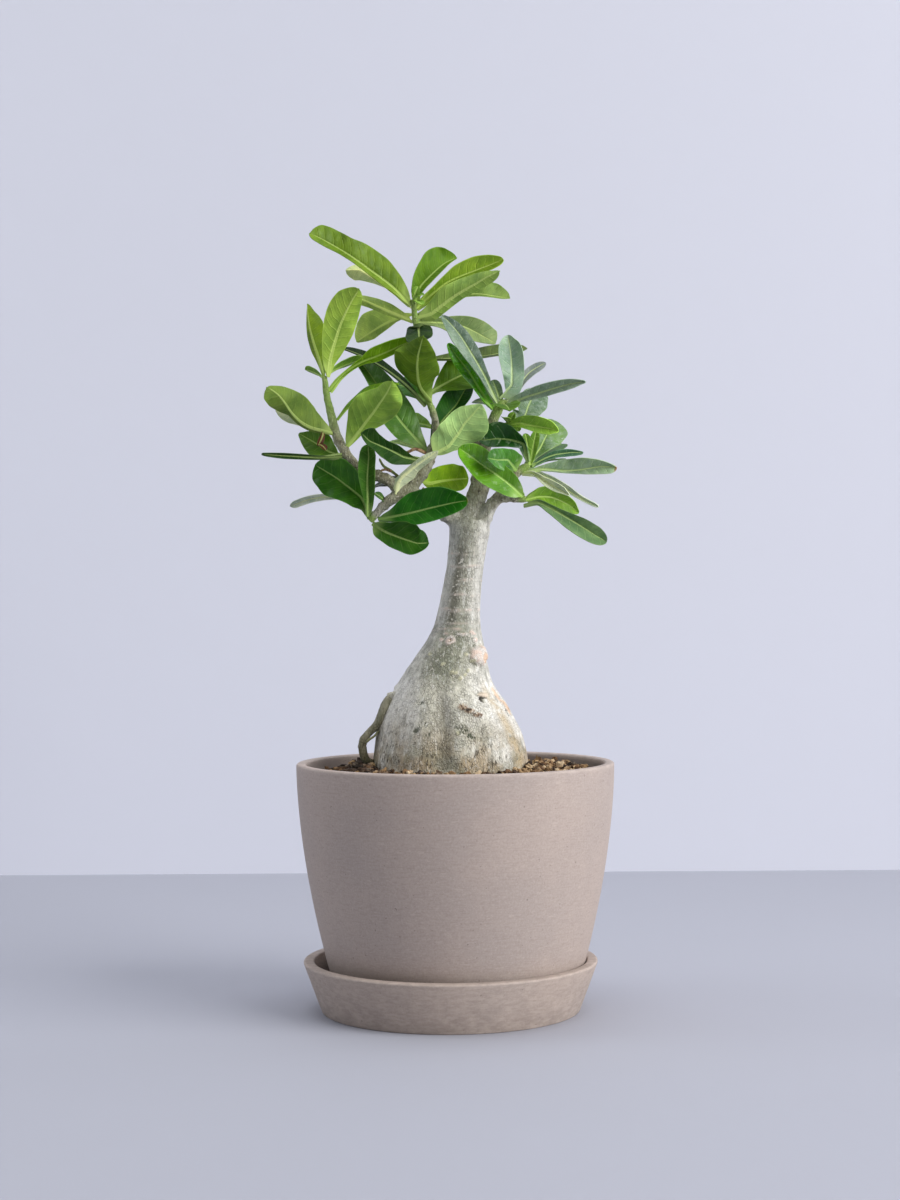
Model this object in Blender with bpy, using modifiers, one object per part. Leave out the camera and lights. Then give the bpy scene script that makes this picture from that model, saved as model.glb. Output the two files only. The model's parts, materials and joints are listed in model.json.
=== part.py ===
"""A desert rose (adenium) in a round pot that stands in its saucer.

Metres, +Z up. The origin is the middle of the saucer's flat underside, and the front of the plant
looks along -Y. Lengths below are in millimetres and angles in degrees; MM turns them into metres.

The plant is one woody body (swollen base, trunk, branches and a side root) with separate leaves.
Each leaf springs from a branch, a stated distance back from that branch's end.
"""

import math
from collections import namedtuple

import bmesh
import bpy
from mathutils import Vector

MM = 0.001
GAP = 0.3  # kept between pieces that touch
TURN_STEPS = 44  # round the pot, saucer and soil, whose facets line up
WELD = 0.00001  # metres

# Saucer
SAUCER_BASE_RADIUS = 60.9
SAUCER_RIM_RADIUS = 69.0
SAUCER_HEIGHT = 23.8
SAUCER_WALL = 5.3
SAUCER_FLOOR = 5.0
SAUCER_FLOOR_RADIUS = 59.2
SAUCER_EDGE = 1.4  # rounding

# Pot, which stands a little right of the saucer's middle and leans on its wall
POT_OFFSET = 2.0
POT_BOTTOM = SAUCER_FLOOR + GAP
POT_RIM = 116.5
POT_RIM_RADIUS = 75.0
POT_TAPER = 19.0  # how much smaller the outside is at the bottom
POT_TAPER_POWER = 1.75
POT_WALL = 4.6
POT_FLOOR = 5.0
POT_EDGE = 1.2
POT_FOOT = 3.0
WALL_STEPS = 6

# Soil
SOIL_AT_WALL = 108.5
SOIL_AT_STEM = 113.5
SOIL_MOUND_RADIUS = 44.0

# Woody body
STEM_SIDES = 24
BRANCH_SIDES = 8
PATH_STEPS = 2
LOBE_COUNT = 7
LOBE_DEPTH = 1.6
LOBE_LOW, LOBE_HIGH = 118.0, 165.0
BURIED_POINTS = 7  # of STEM, up to just above the soil

# Leaf
LEAF_STATIONS = (0.0, 0.08, 0.2, 0.34, 0.5, 0.65, 0.79, 0.9, 0.965)
PETIOLE_END = 0.06  # along the leaf
PETIOLE_WIDTH = 1.7
PETIOLE_THICKNESS = 1.1
BLADE_THICKNESS = 0.8
TIP_THICKNESS = 0.5  # as a share of the blade's
PETIOLE_FADE = 0.3  # where the stalk's thickness has gone
MARGIN_LIFT = 0.1  # keeps the margins off the midrib's level
BLADE_BLUNTNESS = 0.5  # power of the outline towards the tip
USUAL_BELLY = 0.68
LEAF_GAP = 0.45  # between a leaf's foot and the bark

# The woody body's centrelines, as points (x, y, z, radius).
STEM = [
    (0, 0, 84, 10),
    (0, 0, 86, 22),
    (0, 0, 91, 31),
    (0, 0, 99, 36),
    (0, 0, 108, 37),
    (0, 0, 117, 36.6),
    (-0.3, 0, 127, 35),
    (-0.8, 0, 135, 32.7),
    (-1.2, 0, 144, 28.8),
    (-1.2, 0, 152, 23.8),
    (0, 0, 158, 20.6),
    (1.4, 0, 164, 17.6),
    (2.6, 0, 171, 14.4),
    (3.5, 0, 180, 10.8),
    (5, 0, 193, 9.5),
    (7, 0, 207, 8.7),
    (8.6, 0, 219, 9),
    (9.6, 0, 227, 9.8),
    (10, 0, 231, 8),
]
BRANCHES = {
    "right_limb": [
        (12, -1, 223, 5),
        (16.5, -2, 231, 3.6),
        (19.5, -3, 237, 3.1),
        (23, -4, 240.7, 2.8),
        (27.6, -4.5, 241.6, 2.6),
        (33, -5, 240.5, 2.2),
        (36, -5.5, 240.3, 1.8),
    ],
    "right_fork": [
        (22.4, -3.8, 240.5, 2.6),
        (26.6, -2, 246.4, 2.3),
        (30.4, -1, 251.1, 2.2),
        (34.6, 0, 254.9, 2.1),
        (38, 0, 256.5, 1.8),
    ],
    "centre_limb": [
        (9, 1, 223, 7),
        (9, 1, 230.8, 6.2),
        (12.9, 2, 241.7, 5),
        (15.3, 3, 250.6, 4.9),
        (15.7, 4, 259, 4.5),
        (16.3, 4, 266, 3.7),
        (19, 4, 273.3, 3),
        (21, 4, 278.5, 2.6),
        (24, 4, 284, 2.2),
        (27, 4, 287.5, 1.8),
    ],
    "centre_stub": [
        (15.5, 4, 261, 3.6),
        (13, 2.5, 266, 3.2),
        (11, 2, 270, 2.6),
    ],
    "bud_twig": [
        (19, 4, 273.3, 2.4),
        (24, 1, 274.5, 1.9),
        (28, -2, 275.5, 1.5),
    ],
    "left_limb": [
        (7, 0, 225, 6),
        (3.5, -1, 230, 4.6),
        (-1.5, -3, 233.5, 3.9),
        (-8, -5, 237.5, 3.5),
        (-15, -7, 242, 3.3),
        (-20, -8, 244, 3.2),
    ],
    "tall_branch": [
        (-18, -7.5, 243, 3),
        (-25, -9, 247, 2.9),
        (-31.5, -9.5, 250.6, 2.7),
        (-38, -9.5, 253, 2.6),
        (-44.3, -9, 256.5, 2.5),
        (-50.4, -7, 265.5, 2.4),
        (-53.5, -6, 273, 2.2),
        (-55.6, -5, 281.4, 2),
        (-57.5, -4, 290, 1.7),
        (-58.5, -4, 299, 1.4),
    ],
    "low_twig": [
        (-18.5, -7.5, 243.5, 3.2),
        (-25, -9, 241.5, 3),
        (-29.5, -9.5, 238.5, 2.6),
        (-33, -9, 235, 2.1),
        (-37.2, -8.6, 230, 1.6),
    ],
    "centre_stem": [
        (-19, -8, 242, 3.2),
        (-17, -7, 247.5, 3.2),
        (-13, -6, 252.5, 3.1),
        (-9.8, -4, 258.2, 2.9),
        (-8, -2, 263, 2.6),
        (-6.6, -1, 268, 2.3),
        (-6, 0, 273, 2),
        (-6.6, 0, 279, 1.8),
        (-8.5, 0, 284.5, 1.7),
        (-10.5, 0, 290, 1.5),
        (-12.5, 0, 299, 1.4),
        (-14, -1, 310, 1.4),
        (-15.3, -2, 322, 1.5),
        (-16.5, -2, 335, 1.3),
    ],
    "side_root": [
        (-24, -6, 149, 2.4),
        (-31, -7, 147, 2),
        (-34.6, -8, 141, 1.8),
        (-37, -8, 134.5, 1.8),
        (-41, -7, 128, 1.7),
        (-41.5, -6, 122.5, 1.7),
        (-39.5, -4, 116, 1.9),
    ],
}

# down: distance back from the branch's end to where the leaf springs
# heading: 0 is right (+X), 90 is back (+Y); rise: angle above level
# turn: the blade's roll about its own length; 0 has the upper side facing up
# arch: how far the blade bows towards its upper side; fold: how far each half lifts about the midrib
# belly: how far along the blade it is widest
Leaf = namedtuple("Leaf", "name down heading rise length width turn arch fold belly", defaults=[USUAL_BELLY])
LEAVES = {
    "centre_stem": [
        Leaf("leaf_top_1", 2, 192, 35, 57, 17.5, 45, 6, 22, 0.5),
        Leaf("leaf_top_2", 3, 145, 29, 45, 17, 70, 3, 15),
        Leaf("leaf_top_3", 1, 50, 40, 40, 24, 10, 3, 22, 0.6),
        Leaf("leaf_top_4", 4, 9, 29, 47, 17, -40, 2, 18, 0.6),
        Leaf("leaf_top_5", 9, 338, 25, 45, 15, -35, 3, 20),
        Leaf("leaf_top_6", 8, 30, 13, 52, 16, -35, 3, 25),
        Leaf("leaf_top_7", 11, 26, -8, 44, 15.5, -50, 2, 12),
        Leaf("leaf_top_8", 10, 169, 21, 32, 10.5, 25, 1, 28),
        Leaf("leaf_top_9", 7, 136, -14, 40, 18, 40, 2, 12),
        Leaf("leaf_top_10", 14, 276, -20, 18, 14, 0, 2, 10),
        Leaf("leaf_stem_1", 49, 262, 42, 40, 21.5, 25, 5, 14, 0.56),
        Leaf("leaf_inner_1", 88, 38, 5, 29, 15, -55, 2, 8),
        Leaf("leaf_inner_2", 93, 134, -1, 25, 13, -30, 2, 10),
        Leaf("leaf_middle_1", 76, 313, 34, 36, 19, -40, 2, 12, 0.62),
        Leaf("leaf_middle_2", 72, 36, 64, 38, 17.5, 20, 3, 12),
        Leaf("leaf_middle_3", 73, 146, 50, 60, 16, -70, 4, 10),
        Leaf("leaf_middle_4", 81, 225, 12, 39, 17, -50, -2, 10),
        Leaf("leaf_middle_5", 74, 138, 15, 25, 12, -10, 1, 14),
        Leaf("leaf_stem_2", 49, 161, 34, 51, 9, -20, 4, 20),
        Leaf("leaf_stem_3", 48, 123, 20, 30, 14, -40, 3, 12),
        Leaf("leaf_stem_4", 45, 35, 23, 34, 22, 50, 3, 12),
        Leaf("leaf_stem_5", 28, 28, 8, 57, 15, 25, -2, 16),
        Leaf("leaf_stem_6", 61, 128, 9, 31, 14, -30, 1, 10),
    ],
    "tall_branch": [
        Leaf("leaf_left_1", 0, 113, 60, 43, 14, 130, 2, 25),
        Leaf("leaf_left_2", 0, 317, 65, 43, 14.5, -40, 3, 15),
        Leaf("leaf_left_3", 7, 356, 30, 47, 15, -25, 2, 18),
        Leaf("leaf_left_4", 28, 215, 28, 39, 16.5, 45, 4, 12, 0.64),
        Leaf("leaf_left_5", 37, 314, 40, 43, 20, -30, 4, 12),
        Leaf("leaf_left_6", 21, 357, 28, 33, 13, 15, 4, 15),
        Leaf("leaf_left_7", 24, 154, 18, 30, 14, 55, 2, 12),
        Leaf("leaf_left_8", 38, 134, 21, 32, 17, -50, 2, 10),
        Leaf("leaf_left_9", 39, 202, 0, 38, 12, 0, 0, 6),
    ],
    "low_twig": [
        Leaf("leaf_low_1", 1, 155, 41, 37, 20.5, -65, 2, 8, 0.6),
        Leaf("leaf_low_2", 3, 150, 7, 46, 12, 20, 2, 12),
        Leaf("leaf_low_3", 2, 268, 72, 37, 11.5, -145, 1, 14),
        Leaf("leaf_low_4", 4, 341, 9, 44, 20, 70, 3, 8, 0.58),
        Leaf("leaf_low_5", 0, 349, -19, 27, 18.5, 70, 3, 8, 0.6),
        Leaf("leaf_low_6", 17, 318, 37, 33, 12, 0, 0, 12),
    ],
    "centre_limb": [
        Leaf("leaf_centre_1", 3, 206, 53, 49, 13.5, -70, 3, 14),
        Leaf("leaf_centre_2", 0, 51, 78, 31, 14, 35, 3, 10),
        Leaf("leaf_centre_3", 1, 339, 14, 41, 13, 20, 0, 22),
        Leaf("leaf_centre_4", 3, 48, 36, 41, 13, 0, 3, 18),
        Leaf("leaf_centre_5", 6, 187, 55, 37, 15, -45, 3, 14),
        Leaf("leaf_centre_6", 4, 279, -9, 22, 14, 5, 2, 14, 0.56),
    ],
    "bud_twig": [
        Leaf("leaf_bud_1", 0, 322, -6, 28, 13, 25, 2, 14),
        Leaf("leaf_bud_2", 0, 54, 34, 33, 15, 25, 3, 10),
    ],
    "right_fork": [
        Leaf("leaf_right_1", 0, 194, 19, 26, 16, -55, 4, 10),
        Leaf("leaf_right_2", 7, 244, 4, 32, 13, -60, 2, 10, 0.56),
        Leaf("leaf_right_3", 0, 51, 41, 34, 16, 25, 3, 12),
        Leaf("leaf_right_4", 2, 31, 15, 34, 11, 10, 2, 15),
        Leaf("leaf_right_5", 1, 346, 1, 42, 14, 35, 1, 16),
        Leaf("leaf_right_6", 3, 354, -26, 37, 10, -10, 0, 10),
        Leaf("leaf_right_7", 5, 322, -24, 29, 11, 0, 2, 20),
    ],
    "right_limb": [
        Leaf("leaf_outer_1", 2, 216, 29, 42, 20, -85, -1, 12, 0.58),
        Leaf("leaf_outer_2", 0, 26, -4, 25, 18, 65, 1, 10, 0.6),
        Leaf("leaf_outer_3", 0, 338, -26, 45, 15, 40, 4, 12),
    ],
}

FINISHES = {  # red, green, blue, roughness
    "pot": (0.33, 0.27, 0.24, 0.8),
    "saucer": (0.32, 0.26, 0.23, 0.8),
    "soil": (0.2, 0.12, 0.07, 0.95),
    "wood": (0.42, 0.42, 0.33, 0.7),
    "leaf": (0.08, 0.2, 0.04, 0.4),
}


def clear_scene():
    for thing in list(bpy.data.objects):
        bpy.data.objects.remove(thing)


def make_collection(name):
    found = bpy.data.collections.new(name)
    bpy.context.scene.collection.children.link(found)
    return found


def finish(name):
    red, green, blue, roughness = FINISHES[name]
    material = bpy.data.materials.get(name) or bpy.data.materials.new(name)
    material.use_nodes = True
    shader = material.node_tree.nodes["Principled BSDF"]
    shader.inputs["Base Color"].default_value = (red, green, blue, 1)
    shader.inputs["Roughness"].default_value = roughness
    shader.inputs["Metallic"].default_value = 0
    return material


def add_object(name, data, collection, material=None):
    made = bpy.data.objects.new(name, data)
    collection.objects.link(made)
    if material:
        data.materials.append(finish(material))
    return made


# ---- turned pieces ----


def arc(corner, before, after, radius, steps=3):
    """Points of the round that replaces a corner between two straight runs."""
    corner, before, after = Vector(corner), Vector(before), Vector(after)
    inward, outward = (before - corner).normalized(), (after - corner).normalized()
    half = inward.angle(outward) / 2
    centre = corner + (inward + outward).normalized() * radius / math.sin(half)
    start = (corner + inward * radius / math.tan(half) - centre).normalized()
    end = (corner + outward * radius / math.tan(half) - centre).normalized()
    return [tuple(centre + start.slerp(end, i / steps) * radius) for i in range(steps + 1)]


def rounded(corners):
    """An open outline from (x, z, rounding) corners, sharp where the rounding is 0."""
    points = []
    for i, (x, z, radius) in enumerate(corners):
        if radius:
            points += arc((x, z), corners[i - 1][:2], corners[i + 1][:2], radius)
        else:
            points.append((x, z))
    return points


def turned(name, outline, collection, material):
    """Turns an outline, which runs down its outer side, about the object's own Z."""
    mesh = bpy.data.meshes.new(name)
    points = [(x * MM, 0, z * MM) for x, z in outline]
    mesh.from_pydata(points, [(i, i + 1) for i in range(len(points) - 1)], [])
    made = add_object(name, mesh, collection, material)
    screw = made.modifiers.new("turn", "SCREW")
    screw.axis = "Z"
    screw.angle = math.tau
    screw.steps = screw.render_steps = TURN_STEPS
    screw.use_merge_vertices = True
    screw.merge_threshold = WELD
    screw.use_smooth_shade = True
    return made


def pot_radius(z):
    """The pot's outer radius at a height."""
    depth = (POT_RIM - z) / (POT_RIM - POT_BOTTOM)
    return POT_RIM_RADIUS - POT_TAPER * max(depth, 0) ** POT_TAPER_POWER


def wall_heights(low, high):
    return [low + (high - low) * i / WALL_STEPS for i in range(WALL_STEPS + 1)]


def make_saucer(collection):
    lip_inside = SAUCER_RIM_RADIUS - SAUCER_WALL
    outline = rounded(
        [
            (0, SAUCER_FLOOR, 0),
            (SAUCER_FLOOR_RADIUS, SAUCER_FLOOR, SAUCER_EDGE),
            (lip_inside, SAUCER_HEIGHT, SAUCER_EDGE),
            (SAUCER_RIM_RADIUS, SAUCER_HEIGHT, SAUCER_EDGE),
            (SAUCER_BASE_RADIUS, 0, SAUCER_EDGE),
            (0, 0, 0),
        ]
    )
    return turned("saucer", outline, collection, "saucer")


def make_pot(collection):
    floor = POT_BOTTOM + POT_FLOOR
    inside = wall_heights(floor + 2 * POT_FOOT, POT_RIM - 2 * POT_EDGE)
    outside = wall_heights(POT_BOTTOM + 2 * POT_FOOT, POT_RIM - 2 * POT_EDGE)
    outline = rounded(
        [
            (0, floor, 0),
            (pot_radius(floor) - POT_WALL, floor, POT_FOOT),
            *[(pot_radius(z) - POT_WALL, z, 0) for z in inside],
            (POT_RIM_RADIUS - POT_WALL, POT_RIM, POT_EDGE),
            (POT_RIM_RADIUS, POT_RIM, POT_EDGE),
            *[(pot_radius(z), z, 0) for z in reversed(outside)],
            (pot_radius(POT_BOTTOM), POT_BOTTOM, POT_FOOT),
            (0, POT_BOTTOM, 0),
        ]
    )
    pot = turned("pot", outline, collection, "pot")
    pot.location.x = POT_OFFSET * MM
    return pot


def make_soil(collection, cutters):
    """The filling, shaped by the pot's inside, with a hollow for the plant's swollen base."""
    floor = POT_BOTTOM + POT_FLOOR
    inset = POT_WALL + GAP
    sides = wall_heights(floor + 2 * POT_FOOT, SOIL_AT_WALL)
    outline = [
        (0, SOIL_AT_STEM),
        (SOIL_MOUND_RADIUS, SOIL_AT_STEM),
        *[(pot_radius(z) - inset, z) for z in reversed(sides)],
        *rounded(
            [
                (pot_radius(sides[0]) - inset, sides[0], 0),
                (pot_radius(floor) - inset, floor + GAP, POT_FOOT),
                (0, floor + GAP, 0),
            ]
        )[1:],
    ]
    soil = turned("soil", outline, collection, "soil")
    soil.location.x = POT_OFFSET * MM
    buried = [(x, y, z, radius + 2 * GAP) for x, y, z, radius in STEM[:BURIED_POINTS]]
    x, y, z, radius = buried[0]
    buried[0] = (x, y, z - 2 * GAP, radius)
    hollow = tube("hollow", buried, STEM_SIDES, cutters)
    cut = soil.modifiers.new("hollow", "BOOLEAN")
    cut.operation = "DIFFERENCE"
    cut.object = hollow
    return soil


# ---- woody body ----


def between(p, q, r, s, t):
    """A Catmull-Rom curve's value a share t of the way from q to r."""
    pull = 2 * p - 5 * q + 4 * r - s
    twist = 3 * q - p - 3 * r + s
    return (2 * q + (r - p) * t + pull * t**2 + twist * t**3) / 2


def smooth_path(points, steps):
    """Points (x, y, z, radius) on a smooth curve through the given ones."""
    before = [2 * a - b for a, b in zip(points[0], points[1])]
    after = [2 * a - b for a, b in zip(points[-1], points[-2])]
    through = [before, *points, after]
    found = []
    for corners in zip(through, through[1:], through[2:], through[3:]):
        for step in range(steps):
            found.append(tuple(between(*values, step / steps) for values in zip(*corners)))
    return [*found, tuple(points[-1])]


def tube(name, points, sides, collection):
    """A closed round body along points (x, y, z, radius), as a mesh object."""
    curve = bpy.data.curves.new(name, "CURVE")
    curve.dimensions = "3D"
    curve.bevel_depth = MM
    curve.bevel_resolution = sides // 2 - 2
    curve.use_fill_caps = True
    spline = curve.splines.new("POLY")
    spline.points.add(len(points) - 1)
    for point, (x, y, z, radius) in zip(spline.points, points):
        point.co = (x * MM, y * MM, z * MM, 1)
        point.radius = radius
    drawn = add_object(name, curve, collection)
    bpy.context.view_layer.update()
    mesh = bpy.data.meshes.new_from_object(drawn.evaluated_get(bpy.context.evaluated_depsgraph_get()))
    work = bmesh.new()
    work.from_mesh(mesh)
    bmesh.ops.remove_doubles(work, verts=work.verts, dist=WELD)
    work.to_mesh(mesh)
    work.free()
    bpy.data.objects.remove(drawn)
    made = add_object(name, mesh, collection)
    made.hide_render = True
    made.display_type = "WIRE"
    return made


def groove_swollen_base(mesh):
    """Shallow upright grooves between the swollen base's lobes."""
    for vertex in mesh.vertices:
        x, y, z = vertex.co / MM
        if LOBE_LOW < z < LOBE_HIGH:
            fade = math.sin(math.pi * (z - LOBE_LOW) / (LOBE_HIGH - LOBE_LOW))
            wave = 0.5 + 0.5 * math.cos(LOBE_COUNT * math.atan2(y, x))
            shrink = 1 - LOBE_DEPTH * fade * wave / math.hypot(x, y)
            vertex.co.x *= shrink
            vertex.co.y *= shrink


def make_wood(collection, cutters):
    """The stem with every branch and the side root joined to it."""
    stem = tube("stem", STEM, STEM_SIDES, cutters)
    groove_swollen_base(stem.data)
    wood = add_object("woody_body", stem.data.copy(), collection, "wood")
    bpy.data.objects.remove(stem)
    for name, points in BRANCHES.items():
        join = wood.modifiers.new(name, "BOOLEAN")
        join.operation = "UNION"
        join.object = tube(name, smooth_path(points, PATH_STEPS), BRANCH_SIDES, cutters)
    return wood


# ---- leaves ----


def leaf_axes(heading, rise, turn=0):
    """Unit vectors along the leaf, across it to its left, and out of its upper side."""
    heading, rise, turn = (math.radians(angle) for angle in (heading, rise, turn))
    along = Vector((math.cos(rise) * math.cos(heading), math.cos(rise) * math.sin(heading), math.sin(rise)))
    up = Vector((-math.sin(rise) * math.cos(heading), -math.sin(rise) * math.sin(heading), math.cos(rise)))
    left = up.cross(along)
    across = left * math.cos(turn) + up * math.sin(turn)
    return along, across, up * math.cos(turn) - left * math.sin(turn)


def spring_point(branch, down, along):
    """Where a leaf meets its branch: on the bark, on the leaf's own side of it, in millimetres."""
    points = smooth_path(BRANCHES[branch], PATH_STEPS)[::-1]
    left = down
    for a, b in zip(points, points[1:]):
        start, end = Vector(a[:3]), Vector(b[:3])
        length = (end - start).length
        if left <= length:
            break
        left -= length
    share = min(left / length, 1)
    middle = start.lerp(end, share)
    radius = a[3] + (b[3] - a[3]) * share
    run = (start - end).normalized()
    with_run = along.dot(run)
    out = (along - run * with_run).normalized()
    clear = radius + LEAF_GAP + PETIOLE_WIDTH / 2 * abs(with_run)
    return middle + out * clear


def half_width(leaf, t):
    """Half the leaf's width at t, from 0 at its foot to 1 at its tip."""
    blade = max(t - PETIOLE_END, 0) / (1 - PETIOLE_END)
    growth = BLADE_BLUNTNESS * leaf.belly / (1 - leaf.belly)
    peak = leaf.belly**growth * (1 - leaf.belly) ** BLADE_BLUNTNESS
    spread = leaf.width / 2 * blade**growth * (1 - blade) ** BLADE_BLUNTNESS / peak
    petiole = PETIOLE_WIDTH / 2 * max(1 - 2 * blade, 0)
    return spread + petiole


def leaf_section(leaf, t, base, axes):
    """Four corners of the leaf at t: left margin, midrib top, right margin, midrib underside."""
    along, left, up = axes
    lift = leaf.arch * 4 * t * (1 - t)
    middle = base + along * leaf.length * t + up * lift
    half = half_width(leaf, t)
    rise = half * math.sin(math.radians(leaf.fold)) + MARGIN_LIFT
    spread = half * math.cos(math.radians(leaf.fold))
    petiole = max(1 - t / PETIOLE_FADE, 0)
    full = BLADE_THICKNESS + (PETIOLE_THICKNESS - BLADE_THICKNESS) * petiole
    thick = full * (1 - (1 - TIP_THICKNESS) * t) / 2
    return [
        middle + left * spread + up * rise,
        middle + up * thick,
        middle - left * spread + up * rise,
        middle - up * thick,
    ]


def make_leaf(leaf, branch, collection):
    """A thin folded blade: four-cornered sections from the stalk to a point at the tip."""
    axes = leaf_axes(leaf.heading, leaf.rise, leaf.turn)
    base = spring_point(branch, leaf.down, axes[0])
    work = bmesh.new()
    rings = [
        [work.verts.new(corner * MM) for corner in leaf_section(leaf, t, base, axes)] for t in LEAF_STATIONS
    ]
    tip = work.verts.new((base + axes[0] * leaf.length) * MM)
    work.faces.new(rings[0][::-1])
    for near, far in zip(rings, rings[1:]):
        for i in range(4):
            j = (i + 1) % 4
            work.faces.new((near[i], near[j], far[j], far[i]))
    for i in range(4):
        work.faces.new((rings[-1][i], rings[-1][(i + 1) % 4], tip))
    bmesh.ops.recalc_face_normals(work, faces=work.faces)
    mesh = bpy.data.meshes.new(leaf.name)
    work.to_mesh(mesh)
    work.free()
    return add_object(leaf.name, mesh, collection, "leaf")


def main():
    clear_scene()
    plant = make_collection("potted_desert_rose")
    cutters = make_collection("cutters")
    make_saucer(plant)
    make_pot(plant)
    make_soil(plant, cutters)
    make_wood(plant, cutters)
    for branch, leaves in LEAVES.items():
        for leaf in leaves:
            make_leaf(leaf, branch, plant)


main()
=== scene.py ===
"""A desert rose in its pot: the visible pieces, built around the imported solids.

Metres, +Z up, front towards -Y. Lengths in the tables below are in millimetres unless they say otherwise.
"""

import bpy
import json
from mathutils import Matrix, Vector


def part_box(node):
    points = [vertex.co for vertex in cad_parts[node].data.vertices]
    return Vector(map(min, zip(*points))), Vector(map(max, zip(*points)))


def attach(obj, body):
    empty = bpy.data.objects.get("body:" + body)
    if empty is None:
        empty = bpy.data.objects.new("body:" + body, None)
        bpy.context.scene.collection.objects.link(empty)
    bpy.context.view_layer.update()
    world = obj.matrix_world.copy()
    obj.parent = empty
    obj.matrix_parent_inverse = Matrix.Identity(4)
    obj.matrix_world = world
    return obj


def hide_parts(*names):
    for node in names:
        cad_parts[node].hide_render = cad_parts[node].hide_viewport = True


bl_info = {
    "name": "Potted desert rose",
    "version": (1, 0, 0),
    "blender": (4, 5, 0),
    "location": "3D View > Sidebar > Desert rose",
    "description": "Pot, saucer, grit, bark and leaves of a potted desert rose",
    "category": "Object",
}

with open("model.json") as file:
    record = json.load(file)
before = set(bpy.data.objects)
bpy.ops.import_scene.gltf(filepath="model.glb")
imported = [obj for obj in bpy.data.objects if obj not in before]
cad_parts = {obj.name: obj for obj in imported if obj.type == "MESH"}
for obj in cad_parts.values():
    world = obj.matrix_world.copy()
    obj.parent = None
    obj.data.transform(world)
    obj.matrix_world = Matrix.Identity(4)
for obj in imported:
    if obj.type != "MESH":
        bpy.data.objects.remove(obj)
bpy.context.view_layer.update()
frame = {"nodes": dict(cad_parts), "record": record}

import json
import math
import random
from collections import namedtuple

import bmesh
import bpy
import numpy as np
from mathutils import Vector, noise
from mathutils.bvhtree import BVHTree

MM = 0.001
BODY = "root"
WELD = 0.000002


def box_of(node):
    low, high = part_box(node)
    return Vector(low), Vector(high)


POT_LOW, POT_HIGH = box_of("pot")
SAUCER_HIGH = box_of("saucer")[1]
SOIL_HIGH = box_of("soil")[1]
POT_MIDDLE = ((POT_LOW.x + POT_HIGH.x) / 2, (POT_LOW.y + POT_HIGH.y) / 2)
SAUCER_MIDDLE = (-0.7 * MM, 0.0)
SAUCER_FLOOR_RADIUS = 0.0592
# Radius of the disc from which a floor and an underside are drawn, sides of a turned body, points in a round
HUB = 0.01
TURN_SIDES = 176
ROUND_STEPS = 6
# Rings up the pot's inner and outer side
INNER_RINGS, OUTER_RINGS = 26, 30
# Angles from which an edge stays sharp
TURNED_CREASE, GRAIN_CREASE, LEAF_CREASE = (math.radians(angle) for angle in (50, 24, 62))
SAUCER_TINT = (0.98, 0.97, 0.94)
SLOT_OF = {row["node"]: row["material_slot"] for row in frame["record"]["subparts"]}


# ---- what a user would change ----


def length(name, description, default):
    return bpy.props.FloatProperty(
        name=name, description=description, default=default, min=0, unit="LENGTH", precision=4
    )


def watts(name, default):
    return bpy.props.FloatProperty(
        name=name, description="Strength in watts", default=default, min=0, unit="POWER"
    )


def colour(name, description, default):
    return bpy.props.FloatVectorProperty(
        name=name, description=description, default=default, size=3, min=0, max=1, subtype="COLOR"
    )


class PotSettings(bpy.types.PropertyGroup):
    rim_radius: length("Rim radius", "Outer radius of the pot's rim", (POT_HIGH.x - POT_LOW.x) / 2)
    foot_radius: length("Foot radius", "Outer radius at the pot's underside", 0.056)
    belly: bpy.props.FloatProperty(
        name="Belly", description="How full the side is below the rim", default=1.75, min=1, max=4
    )
    wall: length("Wall", "Thickness of the pot's wall", 0.0046)
    saucer_rim: length("Saucer rim radius", "Outer radius of the saucer's rim", 0.0697)
    saucer_foot: length("Saucer foot radius", "Outer radius of the saucer's underside", 0.0609)
    saucer_wall: length("Saucer wall", "Thickness of the saucer's wall", 0.0053)
    clay: colour("Clay", "Main colour of the pot", (0.432, 0.356, 0.312))
    clay_dark: colour("Dark clay", "Darker grains in the pot", (0.31, 0.25, 0.215))


class GritSettings(bpy.types.PropertyGroup):
    grains: bpy.props.IntProperty(name="Grains", description="Loose grains on top", default=3400, min=1)
    smallest: length("Smallest grain", "Size of the finest grains", 0.0018)
    largest: length("Largest grain", "Size of the coarsest grains", 0.006)


class PlantSettings(bpy.types.PropertyGroup):
    skin: length("Skin", "Spacing of the points on the bark", 0.0008)
    bark_pale: colour("Pale bark", "Colour of the sunny bark", (0.84, 0.82, 0.74))
    bark_grey: colour("Grey bark", "Colour of the shaded bark", (0.6, 0.585, 0.475))
    leaf_green: colour("Leaf green", "Upper side of a small full-grown leaf", (0.045, 0.125, 0.022))
    young_green: colour("Young green", "Upper side of a small young leaf", (0.16, 0.32, 0.035))
    blade: length("Blade", "Thickness of a leaf's blade", 0.0005)


class StageSettings(bpy.types.PropertyGroup):
    camera_back: length("Camera distance", "Distance in front of the pot's middle", 0.985)
    camera_height: length("Camera height", "Height of the lens above the table", 0.193)
    roll: bpy.props.FloatProperty(
        name="Roll", description="Lean of the camera", default=math.radians(0.35), unit="ROTATION"
    )
    wall_back: length("Wall distance", "Distance of the wall behind the pot", 0.49)
    table: colour("Table", "Colour of the table top", (0.395, 0.405, 0.458))
    wall: colour("Wall", "Colour of the wall", (0.69, 0.706, 0.785))
    key: watts("Key light", 56)
    fill: watts("Fill light", 6)
    overhead: watts("Top light", 18)
    sky: bpy.props.FloatProperty(name="Surroundings", description="Light from all round", default=0.34, min=0)


# ---- modelling helpers ----


def deselect():
    bpy.ops.object.select_all(action="DESELECT")
    bpy.context.view_layer.objects.active = None


def activate(piece):
    deselect()
    piece.select_set(True)
    bpy.context.view_layer.objects.active = piece


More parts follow.
